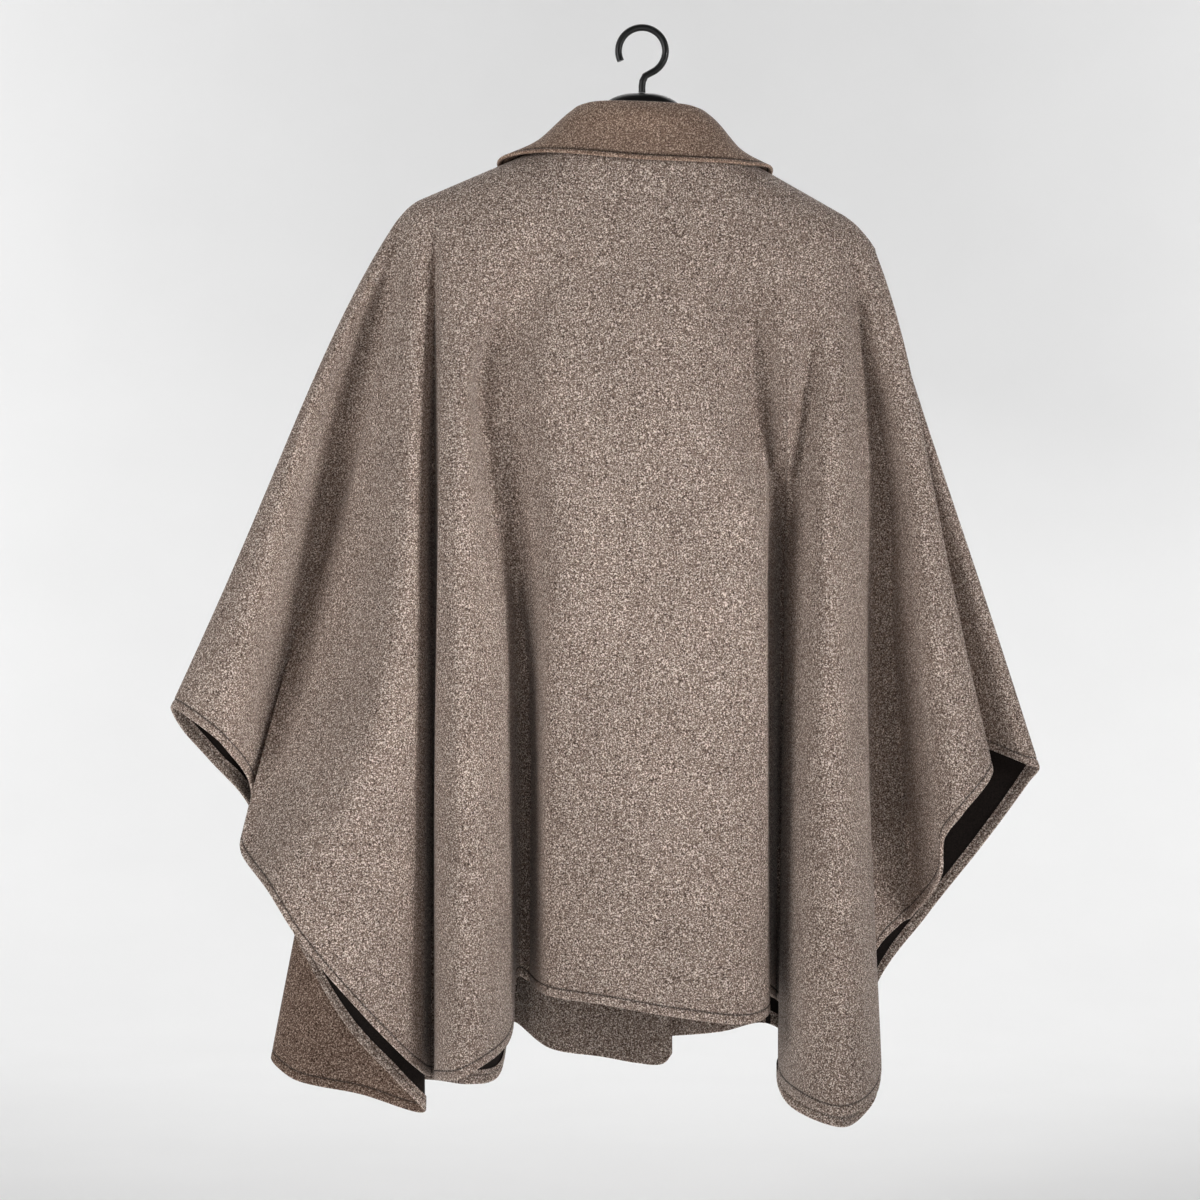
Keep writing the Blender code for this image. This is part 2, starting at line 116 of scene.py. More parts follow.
BACK = [
    Line("left roll", -249.3, -453, 685, -22, 0, -11),
    Line("left wing face", -247.5, -413, 715, -36, 0, -13),
    Line("left wing valley", -245, -388, 751, -22, 0, -14),
    Line("left wing turn", -243, -390, 784, -26, 0, 5),
    Line("left lobe edge", -241, -399, 812, -38, 0, 18),
    Line("left lobe low", -238, -366, 855, -80, 0, 6),
    Line("left lobe", -234, -332, 905, -92, 0, 4),
    Line("left lobe inner", -223, -266, 980, -92, 0, 0),
    Line("left lobe flank", -211, -215, 1035, -50, 0, 0),
    Line("left deep valley", -202, -199, 1048, 5, 0, 0),
    Line("left ridge flank", -198.5, -205, 1041, -60, 0, 0),
    Line("left ridge", -184, -176, 1033, -102, 0.02, 0),
    Line("left ridge inner", -152, -132, 1005, -74, 0.05, 0),
    Line("left soft valley", -118, -123, 945, -8, 0.08, 0),
    Line("middle left", -90, -96, 959, -46, 0.1, 0),
    Line("middle left face", -50, -42, 965, -74, 0.1, 0),
    Line("middle", 10, 36, 977, -86, 0.1, 0),
    Line("middle right face", 84, 100, 984, -80, 0.1, 0),
    Line("middle right", 118, 124, 979, -52, 0.1, 0),
    Line("right deep valley", 129, 125, 962, 6, 0.1, 0),
    Line("right deep valley far side", 139, 141, 978, 8, 0.1, 0),
    Line("right ridge flank", 150, 137, 1046, -54, 0.08, 0),
    Line("right ridge", 172, 191, 1069, -108, 0.06, 0),
    Line("right ridge inner", 196, 231, 1051, -68, 0.05, -3),
    Line("right valley", 213, 233, 926, -2, 0.04, 10),
    Line("right lobe inner", 218.5, 262, 884, -34, 0.02, 15),
    Line("right lobe pinch", 222.5, 291, 844, -50, 0, 13),
    Line("right lobe turn", 224.5, 295, 804, -56, 0, 12.5),
    Line("right lobe", 226, 317, 778, -56, 0, 12),
    Line("right lobe edge", 229.5, 349, 740, -30, 0, 9),
    Line("right hidden valley", 231.3, 340, 718, 16, 0, 0),
    Line("right roll", 232.7, 385, 734, -8, 0, -4),
]
RIGHT_SEAM = Line("right seam", 233, 398, 737, 0, 0, -4)
FRONT_RIGHT = [
    Line("wing roll", 231.5, 390, 752, 18, 0, 0),
    Line("wing edge", 228.5, 348, 814, 44, 0, 0),
    Line("wing edge low", 221, 292, 888, 62, 0, 0),
    Line("side edge", 210, 239, 966, 72, 0, 0),
    Line("side low", 200, 243, 1026, 88, 0, 0),
    Line("side corner", 192, 243, 1080, 108, 0, 0),
    Line("ridge corner", 184, 223, 1104, 103, 0, 0),
    Line("under ridge", 172, 200, 1107, 74, 0.02, 0),
    Line("under ridge inner", 152, 154, 1086, 72, 0.02, 0),
    Line("under ridge turn", 138, 143, 1060, 96, 0.05, 0),
    Line("front crest", 120, 161, 1032, 140, 0.05, 0),
    Line("front flank", 92, 129, 1007, 128, 0.1, 0),
    Line("front face", 58, 82, 1015, 120, 0.1, 0),
    Line("front middle", 10, 20, 1020, 122, 0.1, 0),
    Line("front corner", -20, -42, 1020, 124, 0.1, 0),
    Line("front edge", -30, -52, 1010, 124, 0.1, 0),
]
LINES = FRONT_LEFT + [LEFT_SEAM] + BACK + [RIGHT_SEAM] + FRONT_RIGHT

# One row for each section of the collar, from its left front end round the back to its right front end.
# angle: place on the neckline, 0 at the centre back.
# fold and edge: points of the fold line and the outer edge.
# round: how far the fall is rounded up between the two, or hollowed where it is below 0.
CollarSection = namedtuple(
    "CollarSection", "angle fold_x fold_y fold_drop edge_x edge_y edge_drop round"
)
COLLAR = [
    CollarSection(-172, -15, 74, 148, -62, 97, 232, 6),
    CollarSection(-140, -46, 56, 121, -116, 76, 190, 6),
    CollarSection(-112, -63, 27, 98, -138, 40, 144, 3),
    CollarSection(-90, -67, 0, 85, -145, 2, 132.4, -7),
    CollarSection(-50, -53, -34, 78, -106, -44, 127, -2),
    CollarSection(0, 0, -50, 79, 0, -70, 137, 2),
    CollarSection(50, 51, -34, 82, 100, -46, 139, -2),
    CollarSection(90, 65, 0, 91, 131, 2, 140, -7),
    CollarSection(112, 61, 27, 103, 124, 40, 151, 3),
    CollarSection(140, 47, 59, 126, 109, 80, 194, 6),
    CollarSection(172, 15, 83, 150, 60, 107, 236, 6),
]
COLLAR_WALL = 3.6  # upper and under collar pressed together
COLLAR_LIFT = 2.2  # the stand's lower edge above the neckline
STAND_HOLLOW = 2.0  # the stand leans in between its seam and the fold
FALL_MIDDLE = 0.55  # share of the fall at which its rounding is set

# The collar's roll on each side of the fold line: how far out and how far down from it
RollPoint = namedtuple("RollPoint", "out down")
STAND_ROLL = RollPoint(-4.5, 5.4)
FALL_ROLL = RollPoint(5.4, 3.6)

# Hanger, in millimetres
BAR_SEAT = 106.0  # the cloth rests on the arms from here outwards
BAR_FROM_CLOTH = 3.5
BAR_RADIUS = 9.0
BAR_DEPTH_SCALE = 1.25  # the bar is deeper from back to front than it is tall
BAR_HALF = 211.0  # half of the hanger's width
BAR_POINTS = 121
ARM_POINTS = 9
TIP_BLUNT = 0.1  # share of the round end that is cut off flat
HOOK_RADIUS = 3.5
HOOK_BEND = 20.0  # inside radius of the hook
HOOK_POINTS = 61
HOOK_ENDS = (-62, 205)  # degrees round the bend, from the stem to the tip
HOOK_FOOT_GAP = 0.5

# Top line of the hanger's hump between its two arms: x and drop
HumpPoint = namedtuple("HumpPoint", "x drop")
HUMP = [
    HumpPoint(-82, 113.5),
    HumpPoint(-58, 94),
    HumpPoint(-34, 70),
    HumpPoint(0, 62),
    HumpPoint(34, 71),
    HumpPoint(58, 98),
    HumpPoint(82, 121.5),
]

# Middle of the hook's stem, from the hump up to where the bend starts
StemPoint = namedtuple("StemPoint", "x height")
STEM = [StemPoint(0, 0), StemPoint(0, 6), StemPoint(0.6, 11), StemPoint(3.2, 16.5)]

# Fine mesh: distances from a sewn edge at which it has rows, and its even rows above them
EDGE_STEPS = [0, 0.12, 0.45, 1, 1.9, 3.4, 5.6, 7.6, 8.5, 9]
EDGE_STEPS += [9.5, 10, 10.5, 11.6, 13.2, 14.9, 15.1, 18, 22.5]
COLLAR_STEPS = [0, 0.12, 0.45, 1, 1.9, 3, 3.9, 4.5, 4.9, 5.2, 5.5, 5.9, 6.6, 8, 11, 16, 22.5]
MAIN_ROWS = 96
ROW_POWER = 1.5  # above 1, rows crowd at the shoulder, where the cloth bends most
COLLAR_COLUMNS = 190
COLLAR_ROWS = 56
COLLAR_END_DEGREES = 0.55  # degrees round the neckline for each millimetre from the collar's two ends
RIM = 0.1  # least width left between the two faces where an edge is rounded off
EDGE_LINES = 3  # drape lines that the close columns beside a front edge may reach
EDGE_TRIES = 200  # places tried there to find the columns' distances
KNOT_GAP = 0.2  # least step from the close columns to the even ones, on the scale of the knots
INNER_SLOT = 1  # a panel's materials are its face, its inside and its turned hem
TURNED_SLOT = 2
CLOTH_SHARP = 55  # degrees between faces above which an edge of cloth looks sharp
PLASTIC_SHARP = 50

# Creases as seen from behind, from where each starts down to the hem.
# x, drop: a point of its bottom; left, right: how far the cloth slopes on each side;
# depth: how far it sinks;
# sharp: 0 where the bottom is a soft hollow, 1 where it is a tuck, 2 where the tuck is narrow.
CreasePoint = namedtuple("CreasePoint", "x drop left right depth sharp")
WING_CREASES = [  # these go through the back and the left front
    [  # between the left wing and the left lobe
        CreasePoint(-244, 215, 8, 26, 0, 0),
        CreasePoint(-262, 269, 20, 40, 20, 0),
        CreasePoint(-292, 369, 40, 80, 50, 0),
        CreasePoint(-310, 469, 52, 95, 76, 0),
        CreasePoint(-325, 569, 66, 105, 84, 0),
        CreasePoint(-346, 669, 68, 110, 76, 0),
        CreasePoint(-370, 769, 50, 95, 44, 0),
        CreasePoint(-392, 850, 24, 70, 12, 0),
        CreasePoint(-405, 930, 20, 60, 0, 0),
    ],
]
BACK_CREASES = [
    [  # left of the left ridge
        CreasePoint(-205, 180, 24, 9, 0, 1.2),
        CreasePoint(-206, 300, 30, 9, 18, 1.3),
        CreasePoint(-207, 420, 32, 8, 38, 1.5),
        CreasePoint(-207, 700, 34, 8, 44, 1.6),
        CreasePoint(-208, 1010, 34, 8, 43, 1.6),
    ],
    [  # from the shoulder blade down between the left ridge and the middle
        CreasePoint(-98, 190, 30, 40, 0, 0),
        CreasePoint(-122, 270, 40, 60, 16, 0),
        CreasePoint(-154, 330, 20, 62, 32, 0.1),
        CreasePoint(-152, 430, 22, 66, 42, 0.2),
        CreasePoint(-136, 520, 40, 60, 46, 0.3),
        CreasePoint(-114, 620, 62, 26, 58, 0.7),
        CreasePoint(-110, 720, 64, 18, 76, 0.9),
        CreasePoint(-112, 960, 58, 18, 80, 0.9),
    ],
    [  # left branch of the crease between the middle and the right ridge
        CreasePoint(102, 210, 40, 24, 0, 0),
        CreasePoint(108, 270, 50, 26, 18, 0),
        CreasePoint(117, 340, 60, 24, 32, 0),
        CreasePoint(123, 419, 58, 22, 36, 0),
        CreasePoint(134, 480, 34, 20, 16, 0),
        CreasePoint(138, 530, 20, 20, 0, 0),
    ],
    [  # its right branch, and the crease below
        CreasePoint(170, 200, 20, 18, 0, 0),
        CreasePoint(170, 270, 24, 20, 10, 0),
        CreasePoint(162, 369, 22, 26, 24, 0.1),
        CreasePoint(154, 440, 28, 32, 36, 0.4),
        CreasePoint(141, 519, 32, 42, 58, 0.7),
        CreasePoint(139, 620, 22, 44, 60, 1.1),
        CreasePoint(138, 700, 20, 42, 62, 1.3),
        CreasePoint(136, 840, 18, 38, 64, 1.5),
        CreasePoint(134, 980, 16, 34, 64, 1.5),
    ],
    [  # right of the right ridge
        CreasePoint(210, 215, 14, 10, 0, 0),
        CreasePoint(216, 290, 20, 16, 16, 0.2),
        CreasePoint(230, 369, 32, 24, 31, 0.3),
        CreasePoint(246, 469, 56, 28, 46, 0.5),
        CreasePoint(247, 569, 58, 40, 60, 0.6),
        CreasePoint(252, 669, 60, 48, 70, 0.7),
        CreasePoint(258, 769, 60, 56, 72, 0.7),
        CreasePoint(264, 840, 60, 56, 66, 0.7),
        CreasePoint(256, 920, 46, 40, 50, 0.7),
    ],
]

# Soft unevenness of hanging cloth: width across the folds, length down them, height
Ripple = namedtuple("Ripple", "width length height")
RIPPLES = [Ripple(95, 420, 2.2), Ripple(38, 260, 0.7)]
RIPPLE_START = 0.12  # share of the cloth's length at which ripples start
RIPPLE_FULL = 0.4
STILL_COLUMNS = 6  # columns beside a seam over which creases and ripples fade in

# Sewn edges: cloth drawn up by the stitches, the groove they lie in with a painted shade along it, and a
# painted highlight along the edge
PUCKER_WIDTH = 8.5
PUCKER_HEIGHT = 0.35
PUCKER_PLACE = (3.7, 1.3)  # where in the noise the gathers are read
GROOVE_DEPTH = 0.9
GROOVE_WIDTH = 1.1
# Strength of the painted shade in the stitch groove, on the hems and on the collar
PAINTED_GROOVE_SHADE = 0.5
COLLAR_PAINTED_GROOVE_SHADE = 0.9
# Width and strength of the painted highlight along an edge
PAINTED_HIGHLIGHT_WIDTH = 1.3
PAINTED_HIGHLIGHT = 0.35
STITCH_SUNK = 0.55  # middle of a stitch below the cloth's face
COLLAR_EVEN = 0.25  # share by which the collar's flecks are fainter
FRONT_STITCH_TOP = 6  # row of the drape at which the front edges' stitches start

# Rings of one stitch: place along it, share of its thickness, and lift in millimetres
StitchRing = namedtuple("StitchRing", "forward fat lift")
STITCH_RINGS = [
    StitchRing(-0.5, 0.25, -0.32),
    StitchRing(-0.3, 0.92, 0.1),
    StitchRing(0, 1, 0.2),
    StitchRing(0.3, 0.92, 0.1),
    StitchRing(0.5, 0.25, -0.32),
]
STITCH_SIDES = 6

# Stage, in metres
CAMERA_PLACE = (-0.042, -3.5, -0.569)
CAMERA_LENS = 105
GARMENT_MIDDLE = (CAMERA_PLACE[0], 0, CAMERA_PLACE[2])
FLOOR_DROP = 1.32
STAGE_HALF = 5.0
WALL_BEHIND = 4.6  # beyond the circle in which a camera goes round the garment
COVE = 2.4
COVE_SEGMENTS = 16
NEAR = 0.01  # two places closer than this count as one

# Square lamps. power, share: which power each one takes and how much of it; target: the place it faces.
Lamp = namedtuple("Lamp", "name place width spread power share target")
LAMPS = [
    Lamp("left_box", (-2.5, -2.1, 0.1), 1.5, 180, "key", 1, GARMENT_MIDDLE),
    Lamp("right_box", (2.6, -2.0, -0.3), 1.5, 180, "key", 0.45, GARMENT_MIDDLE),
    Lamp("cross_beam", (2.5, -2.1, -0.3), 0.7, 20, "key", 0.025, (-0.36, 0, -0.6)),
    Lamp("front_box", (0.1, -1.9, -1.0), 1.0, 180, "key", 0.12, GARMENT_MIDDLE),
    Lamp("left_wash", (-3.0, 2.3, 0.8), 1.6, 180, "backdrop", 1.15, (-0.2, WALL_BEHIND, 0.6)),
    Lamp("right_wash", (3.0, 2.3, 0.8), 1.6, 180, "backdrop", 1, (0.2, WALL_BEHIND, 0.6)),
    Lamp("floor_wash", (0.0, 1.2, 1.2), 2.0, 180, "backdrop", 0.5, (0, 1.4, -FLOOR_DROP)),
    Lamp("far_box", (0.8, 3.4, 1.4), 1.5, 180, "key", 0.4, GARMENT_MIDDLE),
]


class PonchoSizes(bpy.types.PropertyGroup):
    """Sizes of the cloth and its sewing."""

    cloth: bpy.props.FloatProperty(
        name="Cloth", description="Thickness of the coating", default=0.0022, subtype="DISTANCE"
    )
    turned: bpy.props.FloatProperty(
        name="Turning", description="Thickness of a pressed turning", default=0.0015, subtype="DISTANCE"
    )
    hem_turn: bpy.props.FloatProperty(
        name="Hem", description="Width of the hem turned inside", default=0.015, subtype="DISTANCE"
    )
    stitch_inset: bpy.props.FloatProperty(
        name="Stitch inset", description="Topstitching from an edge", default=0.0095, subtype="DISTANCE"
    )
    collar_inset: bpy.props.FloatProperty(
        name="Collar inset",
        description="Topstitching from the collar's edge",
        default=0.0052,
        subtype="DISTANCE",
    )
    stitch: bpy.props.FloatProperty(
        name="Stitch", description="Length of one stitch", default=0.0031, subtype="DISTANCE"
    )
    stitch_gap: bpy.props.FloatProperty(
        name="Stitch gap", description="Gap between two stitches", default=0.0008, subtype="DISTANCE"
    )
    thread: bpy.props.FloatProperty(
        name="Thread", description="Thickness of the thread", default=0.0009, subtype="DISTANCE"
    )
    step: bpy.props.FloatProperty(
        name="Mesh step",
        description="Width of a column of faces at the hem",
        default=0.005,
        subtype="DISTANCE",
    )


class PonchoColours(bpy.types.PropertyGroup):
    """Colours as sRGB hex values."""

    face_dark: bpy.props.StringProperty(
        name="Dark fleck", description="Shaded yarn between loops", default="#453830"
    )
    face_mid: bpy.props.StringProperty(
        name="Ground", description="Main colour of the coating", default="#8B786D"
    )
    face_light: bpy.props.StringProperty(
        name="Light fleck", description="Pale loops of yarn", default="#EADCD0"
    )
    # Painted shade: laid over the collar's cloth, a warmer and slightly darker copy
    collar: bpy.props.StringProperty(
        name="Collar tone", description="Laid over the collar's cloth", default="#F6EADF"
    )
    # Painted shade: laid over the fronts' face, a darker and warmer copy of the cloth
    fronts: bpy.props.StringProperty(
        name="Fronts tone", description="Laid over the fronts' face", default="#CFC3BB"
    )
    back: bpy.props.StringProperty(
        name="Backing", description="Bonded back of the coating", default="#211A17"
    )
    thread: bpy.props.StringProperty(name="Thread", description="Topstitching thread", default="#3A2E27")
    hanger: bpy.props.StringProperty(name="Hanger", description="Moulded plastic", default="#161616")
    stage: bpy.props.StringProperty(name="Stage", description="Floor and backdrop", default="#F2F2F2")


class PonchoLight(bpy.types.PropertyGroup):
    """Studio light."""

    key: bpy.props.FloatProperty(
        name="Key",
        description="Soft box at the left, which the other boxes follow",
        default=48,
        unit="POWER",
    )
    backdrop: bpy.props.FloatProperty(
        name="Backdrop",
        description="Wash on the backdrop from the right, which the other washes follow",
        default=52,
        unit="POWER",
    )
    sky: bpy.props.FloatProperty(name="Sky", description="Even light from all round", default=0.02)


def linear(hex_colour):
    """Linear RGBA of an sRGB hex value."""
    parts = [int(hex_colour[i : i + 2], 16) / 255 for i in (1, 3, 5)]
    return [c / 12.92 if c <= 0.04045 else ((c + 0.055) / 1.055) ** 2.4 for c in parts] + [1.0]


def add_node(tree, kind, settings=None, links=None, **values):
    """A shader node with its settings, input values, and links from other nodes' outputs to its inputs."""
    node = tree.nodes.new(kind)
    for key, value in (settings or {}).items():
        setattr(node, key, value)
    for key, value in values.items():
        node.inputs[key.replace("_", " ")].default_value = value
    for key, output in (links or {}).items():
        tree.links.new(output, node.inputs[key])
    return node


def new_material(name):
    """An empty material: its node tree, Principled shader and Object coordinates."""
    made = bpy.data.materials.new(name)
    made.use_nodes = True
    tree = made.node_tree
    shader = tree.nodes["Principled BSDF"]
    place = tree.nodes.new("ShaderNodeTexCoord").outputs["Object"]
    return made, tree, shader, place


def ramp(tree, factor, stops):
    """A colour ramp through (position, linear colour) stops."""
    node = tree.nodes.new("ShaderNodeValToRGB")
    tree.links.new(factor, node.inputs["Fac"])
    elements = node.color_ramp.elements
    while len(elements) < len(stops):
        elements.new(0.5)
    for element, (position, colour) in zip(elements, stops):
        element.position = position
        element.color = colour
    return node.outputs["Color"]


def shades(hex_colour, stops):
    """Stops of a ramp from (position, share) pairs: the colour, times the share."""
    base = linear(hex_colour)[:3]
    return [(position, [c * share for c in base] + [1]) for position, share in stops]


@functools.cache
def fleck_wool(name="fleck_wool_coating", tone="#FFFFFF", even=0.0):
    """Brushed wool coating with curled pale and dark yarns: a matt, mottled face with a short fuzz.

    tone is laid over the colours as a painted shade, darker and warmer on the collar's and the fronts'
    copies; even draws the flecks towards the ground colour.
    """
    colours = bpy.context.scene.poncho_colours
    ground = np.array(linear(colours.face_mid))
    ends = np.array([linear(colours.face_dark), linear(colours.face_light)])
    dark, pale = ends + (ground - ends) * even
    made, tree, shader, place = new_material(name)
    loop_mm = 1.45
    loops = add_node(
        tree,
        "ShaderNodeTexNoise",
        links={"Vector": place},
        Scale=1 / (loop_mm * MM),
        Detail=0,
        Distortion=0.4,
    )
    pile_mm = 0.95
    pile = add_node(tree, "ShaderNodeTexNoise", links={"Vector": place}, Scale=1 / (pile_mm * MM), Detail=0)
    height = add_node(
        tree, "ShaderNodeMix", links={2: loops.outputs["Fac"], 3: pile.outputs["Fac"]}, Factor=0.4
    )
    stops = [(0.32, dark), (0.46, ground), (0.52, ground), (0.67, pale)]
    flecks = ramp(tree, height.outputs[0], stops)
    patch_mm = 70.0
    patches = add_node(
        tree, "ShaderNodeTexNoise", links={"Vector": place}, Scale=1 / (patch_mm * MM), Detail=3.0
    )
    shade = add_node(
        tree,
        "ShaderNodeMapRange",
        links={"Value": patches.outputs["Fac"]},
        From_Min=0.3,
        From_Max=0.7,
        To_Min=0.93,
        To_Max=1.07,
    )
    # Painted shade along the stitch grooves and painted highlight along the edges, read from a mesh
    # attribute
    painted_shade_and_highlight = add_node(tree, "ShaderNodeAttribute", {"attribute_name": "painted_shade_and_highlight"})
    pressed = add_node(
        tree,
        "ShaderNodeMapRange",
        {"clamp": False},
        {"Value": painted_shade_and_highlight.outputs["Fac"]},
        To_Min=1.0,
        To_Max=0.0,
    )
    both = add_node(
        tree,
        "ShaderNodeMath",
        {"operation": "MULTIPLY"},
        {0: shade.outputs["Result"], 1: pressed.outputs["Result"]},
    )
    mottled = add_node(
        tree,
        "ShaderNodeVectorMath",
        {"operation": "SCALE"},
        {"Vector": flecks, "Scale": both.outputs["Value"]},
    )
    toned = add_node(
        tree,
        "ShaderNodeVectorMath",
        {"operation": "MULTIPLY"},
        {0: mottled.outputs["Vector"]},
    )
    toned.inputs[1].default_value = linear(tone)[:3]
    bump = add_node(
        tree,
        "ShaderNodeBump",
        links={"Height": height.outputs[0]},
        Strength=0.5,
        Distance=0.001,
    )
    tree.links.new(toned.outputs["Vector"], shader.inputs["Base Color"])
    tree.links.new(bump.outputs["Normal"], shader.inputs["Normal"])
    shader.inputs["Roughness"].default_value = 0.95
    shader.inputs["Specular IOR Level"].default_value = 0.15
    shader.inputs["Sheen Weight"].default_value = 0.12
    shader.inputs["Sheen Roughness"].default_value = 0.5
    return made


@functools.cache
def bonded_back():
    """Knitted polyester bonded to the back of the coating: near black, fine and matt."""
    colours = bpy.context.scene.poncho_colours
    made, tree, shader, place = new_material("bonded_knit_back")
    rib_mm = 1.6
    ribs = add_node(
        tree, "ShaderNodeTexNoise", links={"Vector": place}, Scale=1 / (rib_mm * MM), Detail=2.0
    )
    tone = ramp(tree, ribs.outputs["Fac"], shades(colours.back, [(0.3, 0.6), (0.7, 1.35)]))
    bump = add_node(
        tree, "ShaderNodeBump", links={"Height": ribs.outputs["Fac"]}, Strength=0.3, Distance=0.0004
    )
    tree.links.new(tone, shader.inputs["Base Color"])
    tree.links.new(bump.outputs["Normal"], shader.inputs["Normal"])
    shader.inputs["Roughness"].default_value = 0.85
    shader.inputs["Specular IOR Level"].default_value = 0.2
    return made


@functools.cache
def sewing_thread():
    """Spun polyester thread: a soft shine along its twist."""
    colours = bpy.context.scene.poncho_colours
    made, tree, shader, place = new_material("spun_polyester_thread")
    twist_mm = 0.8
    twist = add_node(
        tree, "ShaderNodeTexNoise", links={"Vector": place}, Scale=1 / (twist_mm * MM), Detail=1.0
    )
    tone = ramp(tree, twist.outputs["Fac"], shades(colours.thread, [(0.3, 0.7), (0.7, 1.3)]))
    tree.links.new(tone, shader.inputs["Base Color"])
    shader.inputs["Roughness"].default_value = 0.6
    return made


@functools.cache
def moulded_plastic():
    """Black moulded polystyrene: a satin skin with a faint orange peel and handling marks."""
    colours = bpy.context.scene.poncho_colours
    made, tree, shader, place = new_material("moulded_polystyrene")
    peel_mm = 1.5
    peel = add_node(
        tree, "ShaderNodeTexNoise", links={"Vector": place}, Scale=1 / (peel_mm * MM), Detail=2.0
    )
    wear_mm = 18.0
    wear = add_node(
        tree, "ShaderNodeTexNoise", links={"Vector": place}, Scale=1 / (wear_mm * MM), Detail=4.0
    )
    rough = add_node(
        tree,
        "ShaderNodeMapRange",
        links={"Value": wear.outputs["Fac"]},
        From_Min=0.3,
        From_Max=0.7,
        To_Min=0.34,
        To_Max=0.5,
    )
    tone = ramp(tree, wear.outputs["Fac"], shades(colours.hanger, [(0.3, 1), (0.75, 1.5)]))
    bump = add_node(
        tree, "ShaderNodeBump", links={"Height": peel.outputs["Fac"]}, Strength=0.15, Distance=0.0003
    )
    tree.links.new(tone, shader.inputs["Base Color"])
    tree.links.new(rough.outputs["Result"], shader.inputs["Roughness"])
    tree.links.new(bump.outputs["Normal"], shader.inputs["Normal"])
    return made


@functools.cache
def studio_paper():
    """Matt seamless paper: pale and even, with a faint tooth."""
    colours = bpy.context.scene.poncho_colours
    made, tree, shader, place = new_material("seamless_paper")
    tooth_mm = 300.0
    tooth = add_node(
        tree, "ShaderNodeTexNoise", links={"Vector": place}, Scale=1 / (tooth_mm * MM), Detail=2.0
    )
    tone = ramp(tree, tooth.outputs["Fac"], shades(colours.stage, [(0.3, 0.98), (0.7, 1)]))
    tree.links.new(tone, shader.inputs["Base Color"])
    shader.inputs["Roughness"].default_value = 0.9
    return made


def spline(rows, knots, at):
    """A smooth curve through the rows, one row for each knot, read at the places given."""
    slopes = np.gradient(rows, knots, axis=0)
    index = np.clip(np.searchsorted(knots, at, side="right") - 1, 0, len(knots) - 2)
    width = (knots[index + 1] - knots[index])[:, None]
    u = (at - knots[index])[:, None] / width
    rise = u * u * (3 - 2 * u)
    leave = u * (1 - u) ** 2 * width
    arrive = u * u * (u - 1) * width
    between = rows[index] * (1 - rise) + rows[index + 1] * rise
    return between + slopes[index] * leave + slopes[index + 1] * arrive


def smooth_step(value, low, high):
    u = np.clip((value - low) / (high - low), 0, 1)
    return u * u * (3 - 2 * u)


def half_drop(x, half):
    """Drop of one half of the shoulder seam, sloping from the neck and rounding off at its end."""
    out = np.abs(x) - SHOULDER_NECK
    past = np.maximum(out - half.round_from, 0)
    return half.neck_drop + half.slope * out + half.round_off * past**2


def shoulder_drop(x):
    return np.where(x < 0, half_drop(x, LEFT_SHOULDER), half_drop(x, RIGHT_SHOULDER))


def neck_share(x):
    """1 at the middle of the neckline and 0 at its two shoulder points."""
    return np.clip(1 - (x / NECK_HALF) ** 2, 0, 1)


def top_drop(x, side):
    """Drop of the shoulder seam, or of the neckline between the shoulder points."""
    left, right = (float(shoulder_drop(np.array(s * NECK_HALF))) for s in (-1, 1))
    across = left + (right - left) * (x + NECK_HALF) / (2 * NECK_HALF)
    dip = np.where(side < 0, BACK_DIP, FRONT_DIP)
    return np.where(np.abs(x) < NECK_HALF, across + dip * neck_share(x), shoulder_drop(x))


def top_y(x, side):
    return np.where(side < 0, -NECK_BACK, NECK_FRONT) * np.sqrt(neck_share(x))


def body_y(x, side):
    """Depth of the garment below the shoulder roll, before its folds open."""
    end = np.where(x < 0, LEFT_SHOULDER.end, RIGHT_SHOULDER.end)
    return side * BODY_DEPTH * np.sqrt(np.clip(1 - (x / end) ** 2, 0, 1))


def front_lap(x):
    """How far the right front lies outside the left one."""
    return LAP * (1 - smooth_step(x, LAP_FULL, LAP_START))


def nearest(places, value):
    """Number of the place nearest to a value."""
    return int(np.argmin(np.abs(np.asarray(places) - value)))


def unit(vectors):
    return vectors / np.maximum(np.linalg.norm(vectors, axis=-1, keepdims=True), 1e-9)


def directions(points, axis):
    """Direction of a grid's lines at each point, halfway between the steps before and after it."""
    steps = unit(np.diff(points, axis=axis))
    first, last = steps.take([0], axis), steps.take([-1], axis)
    return np.concatenate([first, steps], axis) + np.concatenate([steps, last], axis)


def surface_normals(points):
    """Outward directions of a surface whose columns run left to right on the back."""
    return unit(np.cross(directions(points, 0), directions(points, 1)))


def line_table():
    """The drape lines as numbers, the hem length between them and their knots."""
    rows = np.array([line[1:] for line in LINES], float)
    reach = np.linalg.norm(np.diff(rows[:, 1:4], axis=0), axis=1)
    knots = np.concatenate([[0], np.cumsum(np.sqrt(reach))])
    return rows, reach, knots


def read_columns(at):
    rows, _, knots = line_table()
    columns = spline(rows, knots, at)
    columns[:, 0] = np.interp(at, knots, rows[:, 0])  # never doubles back along the seam
    return columns


def drape_points(columns, side, lap, share):
    """Outer surface of the cloth as rows by columns of points, at the shares of its length given."""
    top, hem, drop, depth, start, bow = columns.T
    from_drop = top_drop(top, side)
    from_y = top_y(top, side) + lap
    body = body_y(top, side) + lap
    below = share * (drop - from_drop)
    roll = (1 - (1 - np.clip(below / SHOULDER_ROLL, 0, 1)) ** ROLL_POWER) ** (1 / ROLL_POWER)
    opened = np.clip((share - start) / (1 - start), 0, 1) ** FOLD_POWER
    x = top + (hem - top) * share + bow * BOW_SCALE * share * (1 - share) ** 3
    y = from_y + (body - from_y) * roll + (depth - body) * opened
    return np.dstack([x, y, -(from_drop + below)])


